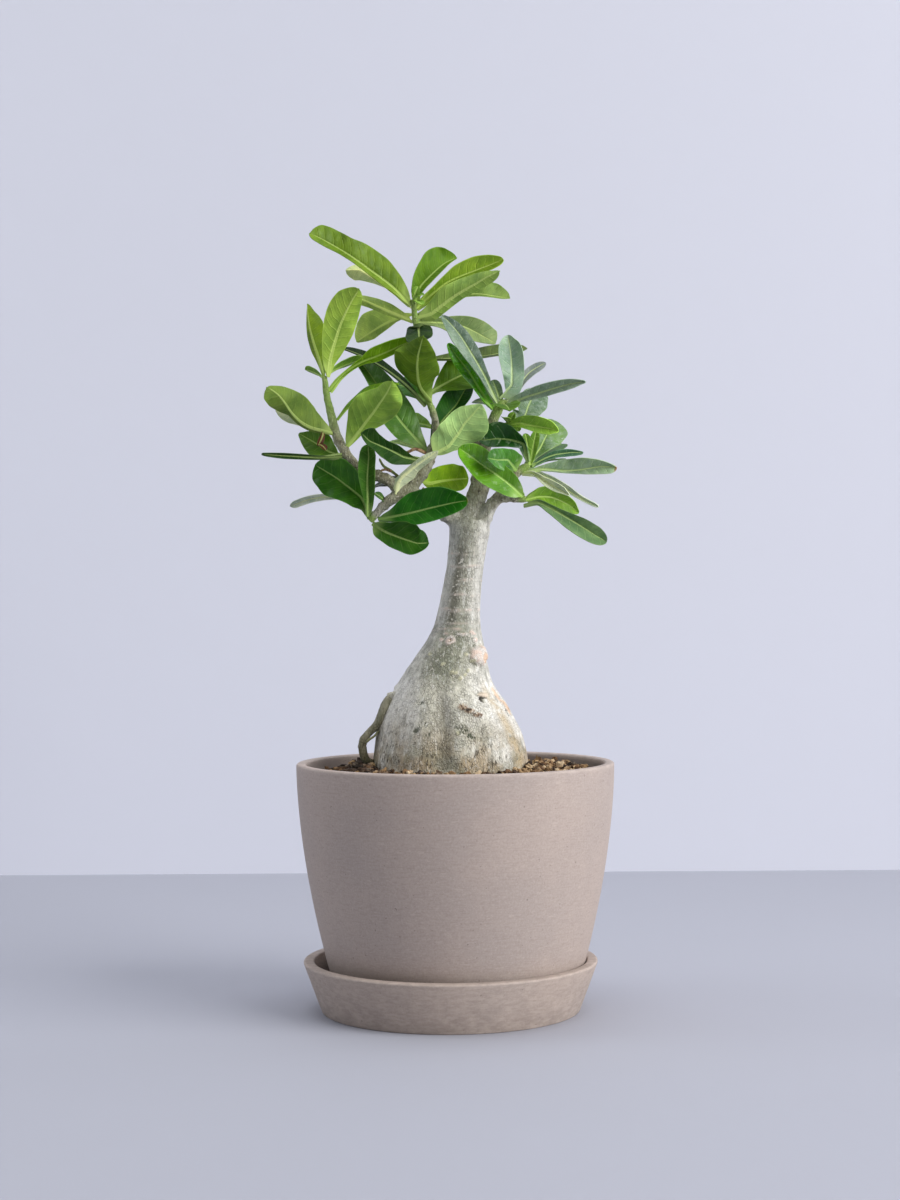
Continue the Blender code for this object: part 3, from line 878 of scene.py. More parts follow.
def swell_trunk(points):
    """Rounds the swollen base and trunk, then cuts the grooves and raises scars and rings."""
    rings = trunk_rings()
    height = points[:, 2]
    middle = np.stack([np.interp(height, rings[:, 0], rings[:, c]) for c in (1, 2)], axis=1)
    radius = np.interp(height, rings[:, 0], rings[:, 3])
    away = points[:, :2] - middle
    reach = np.hypot(*away.T)
    azimuth = np.degrees(np.arctan2(away[:, 0], -away[:, 1]))
    level = height / MM
    on_trunk = 1 - ease(1.6 * MM, 3.2 * MM, abs(reach - radius))
    on_trunk *= ease(BURIED, BURIED + 4 * MM, height) * (1 - ease(KNUCKLE - 7 * MM, KNUCKLE, height))
    marks = {name: np.zeros(len(points)) for name in MARKS}
    depth = groove_depth(azimuth, level)
    bumps = roughness_at(points, 14 * MM, 1) * 0.7 + roughness_at(points, 6 * MM, 2) * 0.3
    lift = -depth
    lift += bumps * np.interp(level, (120, 165, 200), (0.9, 0.6, 0.3))
    for turn_angle, middle_height, wide, tall, rise, kind in SCARS:
        apart = degrees_from(turn_angle, azimuth)
        across = np.radians(apart) * radius / MM
        ragged = 1 + 0.22 * roughness_at(points, 1.6 * MM, turn_angle)
        away_from = np.hypot(across / wide, (level - middle_height) / tall) * ragged
        lift += rise * (1 - ease(0.55, 1.15, away_from))
        marks[kind] = np.maximum(marks[kind], 1 - ease(0.75, 1.05, away_from))
    for turn_angle, middle_height, wide, tall, rise in SWELLINGS:
        apart = degrees_from(turn_angle, azimuth)
        lift += rise * np.exp(-((apart / wide) ** 2) - ((level - middle_height) / tall) ** 2)
    wander = roughness_at(points, 9 * MM, 5) * 1.4
    for ring_height, strength in RINGS:
        apart = abs(level - ring_height + wander)
        broken = ease(-0.25, 0.3, roughness_at(points, 4 * MM, ring_height))
        ring = (1 - ease(0.2, 0.85, apart)) * strength * broken
        lift += 0.34 * ring
        marks["pale"] = np.maximum(marks["pale"], 0.9 * ring * on_trunk)
    wanted = radius + lift * MM
    moved = reach + (wanted - reach) * on_trunk
    points[:, :2] = middle + away * (moved / np.maximum(reach, 1e-6))[:, None]
    for name in MARKS:
        marks[name] *= on_trunk
    strip_line = (azimuth + 20) / 15
    marks["strip"] = np.exp(-(strip_line**2)) * on_trunk * ease(180, 186, level) * (1 - ease(216, 222, level))
    # Painted shade in the grooves, darker where they are cut deeper.
    marks["groove"] = np.clip(depth / 2.4, 0, 1) * on_trunk
    fold_line = np.interp(level, (118, 150), (64, 50))
    marks["fold"] = np.exp(-(((azimuth - fold_line) / 5.5) ** 2)) * on_trunk
    marks["fold"] *= 1 - ease(146, 158, level)
    return marks


def old_scar_places(points, rng):
    """Places of old leaf scars on the branches, spread out."""
    chosen = []
    order = [i for i in range(len(points)) if points[i][2] > KNUCKLE + 8 * MM]
    rng.shuffle(order)
    for i in order[:SCAR_TRIES]:
        if all((points[i] - points[j]) @ (points[i] - points[j]) > SCAR_SPACING**2 for j in chosen):
            chosen.append(i)
    return points[chosen]


def branch_swellings(points):
    """How the bark swells round old leaf scars and leaf feet, in millimetres, and where the scars are."""
    feet = [leaf_sections(node).middle[0] for node in frame["nodes"] if node.startswith("leaf_")]
    swelling, knob = np.zeros(len(points)), np.zeros(len(points))
    for place in old_scar_places(points, random.Random(SCAR_SEED)):
        apart = np.linalg.norm(points - place, axis=1) / MM
        swelling += 0.5 * np.exp(-(apart**2))
        knob = np.maximum(knob, 1 - ease(0.4, 1.0, apart))
    for place in feet:
        apart = np.linalg.norm(points - place, axis=1) / MM
        swelling += 0.55 * np.exp(-((apart / 1.5) ** 2))
    return swelling, knob


def shoot_greenness(points):
    """How green the bark is towards the ends of the shoots, from 0 to 1."""
    young = np.zeros(len(points))
    for *end, reach in SHOOTS:
        apart = np.linalg.norm(points / MM - np.array(end), axis=1)
        young = np.maximum(young, 1 - ease(0.45 * reach, reach, apart))
    return young


def bark_finish(settings):
    """Bark: stippled and cracked, paler on the sides facing +x and -x (partly its own tone, partly painted
    light), greener above, browner by the soil, with painted shade in its grooves and sunken cracks.
    """
    f = Finish("bark", metallic=0.0, specular_ior_level=0.25)
    pale, grey = tuple(settings.bark_pale), tuple(settings.bark_grey)
    sunny, low, twig = f.kept("sunny"), f.kept("low"), f.kept("twig")
    cloud = f.noise(0.014, 4, stretch=(1, 1, 0.7), seed=1.0)
    mottle = f.noise(0.0038, 4, rough=0.65, seed=2.0)
    fine = f.noise(0.0007, 3, stretch=(1, 1, 0.38), rough=0.6, seed=4.0)
    # Grey to pale by the sunny mask: painted light on the sides facing +x, towards the key light, and -x,
    # laid over the bark's own tone.
    f.shade = f.mix(f.limited(sunny * 1.1 + (cloud - 0.5) * 1.2 + (mottle - 0.5) * 0.7), grey, pale)
    green = f.limited(f.kept("green") * 1.1 + (cloud - 0.5) * 1.6 + (mottle - 0.5) * 0.8)
    f.coat(green * 0.75, (0.15, 0.17, 0.1))
    brown = f.patches(0.36, 0.56, 0.011, 3, seed=6.0) * low
    f.coat(brown * 0.8, (0.46, 0.34, 0.19))
    olive = f.patches(0.46, 0.62, 0.013, 3, seed=9.5) * low
    f.coat(olive * 0.5, (0.2, 0.21, 0.12))
    f.coat(f.kept("shaft") * 0.3, (0.4, 0.4, 0.33))
    streak = f.noise(0.0021, 3, stretch=(1, 1, 0.16), seed=3.0)
    f.coat(f.eased(streak, 0.5, 0.68) * 0.45, toned(grey, 0.45))
    f.coat(f.eased(streak, 0.45, 0.3) * 0.4, toned(pale, 1.25))
    cells = {"feature": "DISTANCE_TO_EDGE"}
    where = f.node("ShaderNodeMapping", None, {"Vector": f.place, "Scale": (1, 1, 0.6)})
    crack_inputs = {"Vector": where, "Scale": 1 / 0.00105, "Randomness": 1.0}
    edge = f.node("ShaderNodeTexVoronoi", cells, crack_inputs)
    crack = f.eased(edge, 0.16, 0.02) * f.eased(mottle, 0.38, 0.56)
    # Cracks and stipple are painted fainter on the sunny sides, as part of the painted light.
    f.coat(crack * (0.42 - sunny * 0.26), (0.13, 0.12, 0.08))
    f.coat(f.eased(fine, 0.52, 0.68) * (0.42 - sunny * 0.22), toned(grey, 0.3))
    f.coat(f.eased(fine, 0.44, 0.3) * 0.35, toned(pale, 1.3))
    dashes = f.noise(0.0011, 2, stretch=(1, 1, 0.3), seed=5.0)
    patches = f.patches(0.42, 0.6, 0.009, 2, seed=8.0)
    pits = f.eased(dashes, 0.55, 0.62) * patches * (low * 0.8 + 0.2)
    f.coat(pits * 0.85, (0.06, 0.05, 0.03))
    granules = f.patches(0.64, 0.7, 0.0013, 1, seed=12.0)
    f.coat(granules * 0.6, (0.72, 0.68, 0.58))
    dots = f.patches(0.6, 0.68, 0.0016, 1, seed=15.0)
    f.coat(f.kept("strip") * 0.7, f.mix(dots, (0.09, 0.085, 0.055), (0.78, 0.74, 0.64)))
    # Painted shade in the grooves.
    f.coat(f.kept("groove") * 0.5, (0.21, 0.19, 0.135))
    f.coat(f.kept("fold") * f.eased(mottle, 0.35, 0.55) * 0.6, (0.7, 0.55, 0.32))
    twig_tint = f.mix(f.eased(mottle, 0.36, 0.6), (0.2, 0.19, 0.09), (0.44, 0.44, 0.28))
    twig_tint = f.mix(f.eased(cloud, 0.5, 0.66) * 0.6, twig_tint, (0.13, 0.11, 0.06))
    twig_tint = f.mix(f.eased(fine, 0.52, 0.68) * 0.75, twig_tint, (0.05, 0.04, 0.022))
    twig_tint = f.mix(granules * 0.6, twig_tint, (0.62, 0.6, 0.46))
    f.coat(twig * 0.85, twig_tint)
    f.coat(f.kept("knob") * 0.75, (0.05, 0.035, 0.02))
    whitish = f.mix(f.eased(mottle, 0.4, 0.56), (0.76, 0.6, 0.5), (0.93, 0.88, 0.8))
    f.coat(f.kept("pale") * 0.92, f.mix(crack * 0.3, whitish, (0.34, 0.22, 0.14)))
    f.coat(f.kept("tan") * 0.75, (0.78, 0.52, 0.33))
    rust = f.mix(f.eased(dashes, 0.4, 0.6), (0.13, 0.065, 0.03), (0.55, 0.42, 0.29))
    f.coat(f.kept("crust") * f.eased(fine + mottle, 0.8, 1.0) * 0.9, rust)
    f.coat(f.kept("moss") * f.eased(fine + mottle, 0.92, 1.08) * 0.85, (0.06, 0.075, 0.04))
    f.coat(f.kept("nub") * 0.8, (0.62, 0.6, 0.4))
    f.coat(f.kept("lip") * 0.85, (0.8, 0.66, 0.5))
    # Near-black sunken cracks: partly their own dark, partly painted shade, with a painted shadow under the
    # lip.
    f.coat(f.kept("dark") * 0.9, (0.03, 0.022, 0.015))
    root_tint = f.mix(f.eased(streak, 0.4, 0.6), (0.12, 0.12, 0.05), (0.3, 0.28, 0.18))
    f.coat(f.kept("root") * 0.8, root_tint)
    young_tint = f.mix(f.eased(mottle, 0.3, 0.7), (0.2, 0.33, 0.06), (0.34, 0.46, 0.13))
    f.coat(f.kept("young"), young_tint)
    height = mottle * 0.5 + streak * 0.4 - pits * 0.6 + granules * 0.3 - crack * 0.5 - fine * 0.5
    return f.finish(0.6 + 0.15 * mottle - f.kept("young") * 0.2, height, 0.0009, 0.85)


class DESERT_ROSE_OT_wood(bpy.types.Operator):
    """Makes the swollen base, trunk, branches and side root with their bark"""

    bl_idname = "desert_rose.wood"
    bl_label = "Wood"

    def execute(self, context):
        s = context.scene.desert_rose_plant
        wood = copy_of("woody_body", "bark")
        apply_modifier(wood, "REMESH", mode="VOXEL", voxel_size=s.skin)
        apply_modifier(wood, "SMOOTH", factor=0.5, iterations=7)
        mesh = wood.data
        points = points_of(mesh)
        height = points[:, 2] / MM
        root = 1 - ease(-31.5, -30, points[:, 0] / MM + 0.25 * np.maximum(0, 136 - height))
        root *= 1 - ease(150, 152, height)
        points[:, 0] += root * ease(127, 138, height) * 3.2 * MM
        marks = swell_trunk(points)
        place_points(mesh, points)
        normals = normals_of(mesh)
        height = points[:, 2] / MM
        twig = ease(228, 246, height)
        swelling, knob = branch_swellings(points)
        rough = roughness_at(points, 2.2 * MM, 3) * 0.16 + roughness_at(points, 5 * MM, 4) * 0.22
        young = shoot_greenness(points)
        rough *= 1 - 0.6 * young
        keep_low = ease(BURIED, BURIED + 3 * MM, points[:, 2])
        lift = (swelling * (1 - 0.5 * young) + rough * (0.35 + 0.65 * twig) + 0.12 * twig) * keep_low
        lift += root * (0.55 + 0.5 * ease(130, 140, height))
        place_points(mesh, points + normals * lift[:, None] * MM)
        low = 1 - ease(116, 142, height)
        # Sunny mask: bark facing +x, towards the key light, and bark facing -x are painted paler, less
        # cracked and less green; partly the bark's own paler tone, partly painted light.
        sunny = np.maximum(ease(0.05, 0.8, normals[:, 0]), 0.85 * ease(0.2, 0.8, -normals[:, 0]))
        green = ease(148, 162, height) * (1 - 0.45 * ease(178, 192, height)) - 0.7 * sunny
        shaft = ease(172, 184, height) * (1 - twig)
        marks.update(shaft=shaft, low=low, sunny=sunny, green=green, twig=twig, young=young, root=root)
        marks["knob"] = knob * twig * (1 - young)
        for name, values in marks.items():
            keep_values(mesh, name, values)
        activate(wood)
        bpy.ops.object.shade_smooth()
        mesh.materials.append(bark_finish(s))
        hand_over(wood, SLOT_OF["woody_body"], "woody_body")
        return {"FINISHED"}


# ---- leaves ----

# Points across and along a leaf
COLUMNS, ROWS = 16, 36
Sections = namedtuple("Sections", "share middle left right up along length")
# Leaves that turn their underside to the front
TURNED = (
    "leaf_left_4", "leaf_left_5", "leaf_left_2", "leaf_left_1", "leaf_stem_1", "leaf_middle_1", "leaf_low_6",
    "leaf_inner_1", "leaf_top_9", "leaf_top_8", "leaf_top_2", "leaf_stem_2", "leaf_top_5",
)
# Wet-looking leaves, from 0 for matt to 1; from 0.6 up they also get a painted sheen.
SHINE = {
    "leaf_right_1": 0.9, "leaf_right_2": 1.0, "leaf_outer_1": 1.0, "leaf_outer_2": 0.8, "leaf_outer_3": 0.7,
    "leaf_low_1": 0.6, "leaf_low_4": 0.5, "leaf_middle_3": 0.8, "leaf_top_1": 0.7,
}
TOWARDS_LIGHT = np.array([0.88, 0, 0.47])
# How strongly leaves turn to the light, or away from it where it is below zero, across their middle line
LEANS = {
    "leaf_middle_1": 1.2, "leaf_low_6": 1.2, "leaf_centre_1": 0.9, "leaf_top_5": 0.25, "leaf_left_2": 0.7,
    "leaf_left_5": 0.5, "leaf_outer_3": 0.8, "leaf_outer_1": 0.4, "leaf_top_1": 0.5, "leaf_top_4": 0.5,
    "leaf_top_6": 0.6, "leaf_top_9": 0.7, "leaf_top_7": 0.5, "leaf_left_4": 0.3, "leaf_middle_3": 0.3,
    "leaf_low_4": -0.3, "leaf_low_1": -0.3, "leaf_right_1": -0.5, "leaf_low_5": -0.3, "leaf_middle_2": -0.3,
}
# How far the tips of some leaves lie back, or forward where it is below zero, in millimetres
LAID_BACK = {
    "leaf_middle_1": 10, "leaf_low_6": 14.8, "leaf_low_2": 5, "leaf_low_1": -4.6, "leaf_middle_2": 8.8,
    "leaf_right_1": 5, "leaf_middle_3": -4.95, "leaf_stem_1": -1.6,
}
# Colours of the sides that leaves turn away
UPPER_GREEN, UNDER_GREEN = (0.05, 0.13, 0.02), (0.24, 0.34, 0.13)
# Leaf whose skin is puckered between its veins, and how deeply in millimetres
PUCKERED = {"leaf_top_1": 0.5}
# How glossy a leaf is that turns its underside, that isn't listed, and that needs the wet-looking skin
UNDER_SHINE, USUAL_SHINE, WET_SHINE = 0.25, 0.55, 0.75
# How thick the bloom of a pale leaf is, grown or small, and how glossy a small leaf is
GROWN_BLOOM, SMALL_BLOOM, SMALL_SHINE = 0.7, 0.5, 0.5
# Which side of a leaf has browned and how far along it starts
BROWNED = {"leaf_right_5": (0, 0.965), "leaf_low_4": (0, 0.985)}
# Middle line of a leaf as seen from the front (x, z), from foot to tip, with its half widths on either side.
# The tip has none. A foot without any has FOOT_WIDTHS.
FOOT_WIDTHS = (0.6, 0.6)
OUTLINES = {
    "leaf_bud_1": (
        (28.4, 272.8), (29.8, 275.3, 1.8, 1.2), (32.8, 275.7, 3, 1.8), (36.2, 274.9, 4.4, 2.1),
        (39.9, 274, 4.5, 2.8), (43.5, 273.2, 4, 3.1), (46.6, 272.4, 3.2, 3), (49, 271.6, 1.7, 1.6),
        (50.6, 271),
    ),
    "leaf_bud_2": (
        (28.9, 276.6), (31.6, 277.5, 3.5, 1.6), (34.8, 278.6, 6.4, 2.7), (36.6, 281.3, 3.4, 3.7),
        (37.8, 284.9, 5.2, 7.5), (39.4, 288.5, 5.3, 8.7), (40.8, 291.6, 4.8, 7.9), (42, 294, 2, 7.2),
        (43, 295.5),
    ),
    "leaf_centre_1": (
        (22.9, 286.9), (20.4, 292, 1.8, 0.8), (17.4, 297.9, 2.5, 1.9), (14.1, 303.7, 3.5, 2.9),
        (10.3, 309.7, 4.5, 4), (6.5, 315.7, 5.1, 3.9), (2.7, 320.6, 4, 3.2), (-0.6, 324.1, 2.3, 1.9),
        (-3.1, 326.3),
    ),
    "leaf_centre_2": (
        (24.9, 289.4), (27.4, 292.2, 0.3, 5.6), (30, 295.6, 3.9, 5.1), (30.1, 300, 4.5, 5.8),
        (30, 304.8, 5.5, 5.6), (29.7, 309.6, 6.1, 5.4), (29.2, 313.9, 5.5, 4.6), (28.7, 317.1, 3.7, 2.5),
        (28.4, 319.4),
    ),
    "leaf_centre_3": (
        (28.1, 285.1, 0.6, 0.3), (32.3, 286.8, 2.6, 0.4), (37.2, 288.8, 2.7, 1.9), (42.2, 290.1, 3.3, 2.3),
        (47.6, 291.6, 3.1, 2.5), (53, 293, 2.6, 2.5), (57.7, 293.9, 1.9, 2.1), (61.4, 294.3, 1, 1),
        (63.9, 294.5),
    ),
    "leaf_centre_4": (
        (25.2, 285.1), (27.9, 287.8, 0.9, 0.7), (31.1, 291, 1.2, 0.9), (33.8, 294.6, 1.5, 1),
        (36.1, 299, 2.1, 1.7), (39.2, 302.9, 2.2, 2.3), (42.7, 305.6, 2.1, 2.2), (45.5, 307.4, 1.5, 1.8),
        (47.5, 308.5),
    ),
    "leaf_centre_5": (
        (20.6, 284.4), (18, 287.9, 1.6, 2.1), (15.1, 292, 2.2, 3), (12.4, 296.3, 2.6, 2.8),
        (9.5, 301, 3.6, 2.4), (6.2, 305.4, 3.5, 2.5), (3.3, 309.2, 2.7, 2.4), (1.2, 312.3, 1.6, 1.6),
        (-0.2, 314.5),
    ),
    "leaf_inner_1": (
        (-12.2, 248.7), (-9.7, 248.1, 6.5, 1.9), (-6.7, 248.7, 6.6, 2.6), (-3.8, 249.4, 7.2, 3.6),
        (-0.5, 250, 7.5, 4.5), (2.7, 250.5, 7.5, 5.3), (5.6, 250.9, 6.5, 5.3), (7.8, 251.1, 5.6, 3.9),
        (9.3, 251.3),
    ),
    "leaf_left_1": (
        (-59.1, 299), (-60.4, 303.4, 0.9, 1.7), (-61.9, 308.6, 1.7, 2.9), (-63.6, 313.7, 2.4, 4.4),
        (-65.3, 319.2, 2.3, 5.7), (-66.7, 324.8, 1.6, 6.6), (-67.5, 329.7, 0.8, 5.2),
        (-67.8, 333.5, 0.3, 2.6), (-67.8, 336.1),
    ),
    "leaf_left_2": (
        (-56.4, 299.2), (-55.9, 304.3, 3, 2.3), (-54.6, 310.2, 4.7, 4.6), (-52.8, 315.8, 6.3, 5.9),
        (-50.7, 321.7, 7.8, 6.7), (-48, 327.3, 8.6, 5.8), (-45.3, 332, 7.8, 4.6), (-43, 335.3, 5, 3.3),
        (-41.2, 337.6),
    ),
    "leaf_left_3": (
        (-55.4, 292.3), (-51.6, 297, 0.7, 0.3), (-46.6, 301.7, 0.6, 1), (-40.7, 305.3, 1.5, 1.4),
        (-33.7, 307.9, 4.2, 2.7), (-26.9, 310.7, 3.9, 2.6), (-21, 313.3, 2.8, 1.8),
        (-16.3, 314.8, 1.8, 0.8), (-13, 315.8),
    ),
    "leaf_left_4": (
        (-55.2, 271.3), (-59.5, 272.5, 1.2, 4.8), (-64.6, 273.9, 1.6, 8), (-69.1, 276.4, 1.7, 9.6),
        (-72.9, 280.2, 1.8, 9.8), (-75.8, 284.6, 5, 8.2), (-78.6, 288.1, 6.3, 5.3),
        (-81.3, 290.1, 5.5, 2.8), (-83.4, 291.3),
    ),
    "leaf_left_5": (
        (-47.4, 265.2), (-44.6, 268.6, 4.7, 1.3), (-41.4, 272.5, 7.8, 2), (-38.2, 276.4, 10.4, 4.9),
        (-34.7, 280.4, 10.5, 7.2), (-31.5, 284.5, 8.4, 9), (-28.7, 288, 5.4, 8.9), (-26.9, 290.9, 4.1, 5.2),
        (-25.9, 293),
    ),
    "leaf_left_8": (
        (-50.2, 261.3), (-53, 262.2, 1.7, 0.6), (-56.3, 263.3, 2.2, 4.1), (-59.3, 265.1, 3.9, 6.2),
        (-62.4, 267.2, 6.2, 6.6), (-65.6, 269.4, 5.4, 5.4), (-68.5, 271.2, 3.8, 3.5),
        (-70.7, 272.6, 2, 1.6), (-72.3, 273.5),
    ),
    "leaf_left_9": (
        (-50.8, 260.8), (-55.2, 260.3, 1.1, 0.3), (-60.2, 259.8, 0.9, 0.7), (-65.2, 259.9, 1.1, 0.9),
        (-70.6, 260.1, 1.2, 1), (-75.9, 260.3, 1.3, 1), (-80.5, 260.5, 1.1, 0.8), (-84, 260.7, 0.8, 0.5),
        (-86.4, 260.9),
    ),
    "leaf_low_1": (
        (-38.1, 232.1), (-39.2, 236.3, 2.4, 1.8), (-41.2, 240.9, 6.1, 2.9), (-45, 244.4, 6.7, 6),
        (-49.3, 247.8, 8.3, 8.4), (-53.8, 251.2, 9.8, 8.8), (-57.9, 253.8, 8.4, 7.4),
        (-61.1, 255.8, 7, 4.5), (-63.4, 257.2),
    ),
    "leaf_low_2": (
        (-37, 233.8), (-41.6, 238.2, 0.8, 0.7), (-47, 241.4, 1, 0.9), (-52.5, 242.6, 1.2, 1.1),
        (-58.4, 242.6, 1.4, 1.3), (-64.7, 242.1, 1.7, 1.5), (-70, 240.9, 1.8, 1.7),
        (-74.1, 239.5, 1.7, 1.7), (-77, 238.8),
    ),
    "leaf_low_3": (
        (-38, 233.1), (-38, 237, 0.9, 2.3), (-38, 241.5, 2.2, 3), (-38.1, 246, 3.2, 3.4),
        (-38, 250.8, 4.2, 3.4), (-37.6, 255.6, 4.4, 3.2), (-37.3, 259.7, 4.1, 3.2),
        (-37.4, 262.9, 3.2, 2.5), (-37.4, 265.2),
    ),
    "leaf_low_4": (
        (-32.6, 231.2), (-27.6, 231.9, 3.3, 2), (-21.7, 232.9, 7, 3.6), (-16, 234, 9.5, 6.2),
        (-9.9, 235.4, 9.6, 6.4), (-3.8, 236.7, 8.6, 5.8), (1.5, 237.8, 5.9, 4.9), (5.6, 238.5, 3.1, 3.5),
        (8.4, 238.8),
    ),
    "leaf_low_5": (
        (-35.4, 228.5), (-32.6, 226.6, 3.1, 3.8), (-29.2, 224.7, 4.9, 4.8), (-25.6, 223.2, 6.9, 5.6),
        (-21.7, 221.7, 7.7, 5.8), (-17.8, 220.4, 7.7, 6.1), (-14.4, 219.5, 6.5, 4.4),
        (-11.6, 219.6, 5.6, 2.6), (-9.7, 219.8),
    ),
    "leaf_low_6": (
        (-24.9, 243.6), (-24.1, 246.9, 3, 2.2), (-22.2, 250.2, 1.8, 3.7), (-19.1, 252.8, 2, 3.7),
        (-15.7, 255.4, 2.2, 2.4), (-12.3, 257.9, 2.3, 2.2), (-9.2, 259.9, 1.9, 1.9),
        (-6.9, 261.4, 1.1, 1.7), (-5.2, 262.4),
    ),
    "leaf_middle_1": (
        (-7, 261.6), (-3.8, 263.2, 8.3, 2.5), (-0.2, 265.1, 9.3, 2.8), (2.4, 268.3, 9.3, 5.8),
        (5, 271.7, 8.8, 7.8), (7.2, 275.2, 8.2, 10.4), (9.9, 278.2, 7.2, 10.2), (12.3, 280.7, 4.6, 8.4),
        (14, 282.4, 2.4, 5.4), (15.4, 283.6),
    ),
    "leaf_middle_2": (
        (-4.6, 263.2), (-7.1, 267.2, 1.5, 1.1), (-6.1, 272.6, 2.4, 1.6), (-3.6, 277.5, 4.6, 1.6),
        (0.2, 282.2, 6.9, 2.3), (4, 286.9, 8.1, 3.4), (6.5, 291.6, 6, 4.3), (8.6, 295.2, 3.1, 3.5),
        (10.1, 297.7),
    ),
    "leaf_middle_3": (
        (-11.1, 264.4), (-15.4, 269.2, 3.9, 3.8), (-20.4, 274.8, 6.9, 7.1), (-25, 280.8, 7.3, 8.7),
        (-29.4, 287.8, 5.7, 8.5), (-33.7, 295, 3.7, 7.3), (-37.6, 301.2, 2.9, 5.4), (-41, 305.8, 2.3, 3.1),
        (-43.8, 308.7),
    ),
    "leaf_middle_4": (
        (-12.7, 258.6), (-16.4, 259.2, 2.2, 0.7), (-20.6, 259.8, 3.9, 2.6), (-24.5, 261.5, 5.6, 3.3),
        (-28.6, 263.2, 4.9, 3.1), (-32.8, 264.8, 3.2, 4.1), (-36.3, 266.2, 2.1, 5.3),
        (-38.4, 268, 1.3, 4.8), (-39.8, 269.4),
    ),
    "leaf_outer_1": (
        (33.8, 242.2, 0.8, 1), (30.5, 245, 4.5, 3.6), (26.5, 248.1, 6.3, 5.2), (22.4, 250.9, 7.2, 5.7),
        (17.8, 253.8, 7.5, 6.3), (13.4, 256.7, 6.4, 6.8), (9.7, 259.4, 5.1, 6), (6.8, 261.3, 3.6, 3.8),
        (4.7, 262.7),
    ),
    "leaf_outer_2": (
        (36.5, 240.1, 0.6, 0.3), (39.7, 241, 2.4, 1.6), (43.4, 241.6, 4.2, 3.1), (47.3, 241.5, 4.9, 4.6),
        (51.3, 240.4, 3.9, 5.1), (55, 238.8, 3.3, 5), (58.1, 237, 2.5, 4.4), (60.2, 235.2, 1.3, 2.2),
        (61.7, 234),
    ),
    "leaf_outer_3": (
        (35.7, 237.5), (40.7, 238.4, 1.4, 0.7), (46.1, 236.2, 1.5, 2.5), (51.2, 233.1, 2, 3.6),
        (56.6, 229.7, 3.1, 4.8), (61.9, 226.3, 4.1, 5.2), (66.5, 223.2, 4.3, 4.7), (70.1, 221, 3.2, 3.6),
        (72.6, 219.4),
    ),
    "leaf_right_1": (
        (37, 259), (36.1, 262.3, 1.6, 0.9), (34.9, 266.1, 2.7, 1.3), (31.2, 267.6, 3.2, 3.8),
        (26.9, 268.5, 3.7, 6.8), (22.5, 268.8, 4.1, 8.2), (18.7, 268.5, 3.5, 7.3), (15.8, 268.4, 1.8, 6.4),
        (13.8, 268.9),
    ),
    "leaf_right_2": (
        (31.7, 254), (30.4, 255.3, 3, 6.7), (28.9, 256.8, 5.8, 6.1), (27.3, 258.1, 5.7, 4.9),
        (24.9, 257.8, 5.3, 5.3), (22.4, 257.5, 4.1, 5.2), (20.4, 257.6, 2.7, 4.5), (18.8, 257.7, 1.5, 3.2),
        (17.7, 257.8),
    ),
    "leaf_right_3": (
        (37.5, 258), (39.5, 260.2, 1.3, 1.2), (41.9, 262.7, 2, 1.9), (43.8, 265.7, 3.1, 3.7),
        (45.5, 269.1, 4.8, 5.8), (47.2, 272.6, 5.3, 8.3), (48.6, 275.8, 4.9, 9.1), (49.4, 278.3, 4, 6.1),
        (49.8, 280.1),
    ),
    "leaf_right_4": (
        (36.6, 254.8), (39.6, 256.7, 0.7, 0.7), (43.2, 258.9, 0.8, 0.9), (46.9, 260.8, 1.4, 1.1),
        (51.2, 262.3, 1.7, 1.5), (55.7, 263.1, 1.7, 1.7), (59.6, 263.6, 1.2, 1.7), (62.6, 263.7, 0.6, 1.2),
        (64.8, 263.6),
    ),
    "leaf_right_5": (
        (38, 253.6), (42.9, 254.4, 1.7, 0.4), (48.5, 254, 3.7, 0.7), (54.2, 253.4, 5.5, 1),
        (60.3, 253.6, 5.6, 1.7), (66.3, 254.4, 4.4, 2.9), (71.5, 255, 2.6, 3.5), (75.5, 254.7, 1.3, 3.1),
        (78.2, 254),
    ),
    "leaf_right_6": (
        (36.7, 252.7), (41.1, 251.9, 1.4, 0.3), (46.2, 250.5, 1.3, 1.3), (50.7, 247.8, 1.7, 1.1),
        (55.4, 244.6, 1.9, 0.9), (60.1, 241.6, 1.3, 0.7), (64.4, 239.2, 1, 0.7), (67.8, 237.5, 0.9, 0.7),
        (70.2, 236.4),
    ),
    "leaf_right_7": (
        (35.2, 252.6), (38.1, 252.6, 0.8, 0.6), (41, 251.1, 1.1, 0.7), (43.7, 249.1, 1.4, 1.4),
        (46.6, 247, 2, 1.9), (49.6, 245, 2.1, 1.7), (52.2, 243.4, 1.8, 1.1), (54.2, 242.2, 0.8, 0.6),
        (55.6, 241.3),
    ),
    "leaf_stem_1": (
        (-8.9, 286.9), (-11.3, 289.7, 1.9, 4.6), (-13.6, 293.2, 1.2, 7.7), (-14.5, 297.2, 4.9, 10.2),
        (-14.6, 301.5, 9.9, 10.3), (-14.1, 305.7, 10.8, 8.7), (-13.1, 309.1, 6.6, 7.1),
        (-12.2, 311.7, 3.4, 4.3), (-11.5, 313.4),
    ),
    "leaf_top_1": (
        (-18.6, 332.8, 0.5, 1.1), (-23.1, 338.2, 1.9, 4.8), (-29.2, 343.6, 2.9, 7.6),
        (-35.7, 348.3, 2.5, 9.5), (-42.6, 353.3, 2.3, 9.2), (-49.7, 357.7, 2.4, 7.1), (-56, 361, 2.8, 7.5),
        (-61, 363.4, 2.6, 6.6), (-64.5, 364.7),
    ),
    "leaf_top_10": (
        (-14, 323.6), (-13.9, 322.6, 4.2, 3.8), (-13.9, 321.2, 5.8, 5.3), (-13.8, 319.5, 6.3, 6),
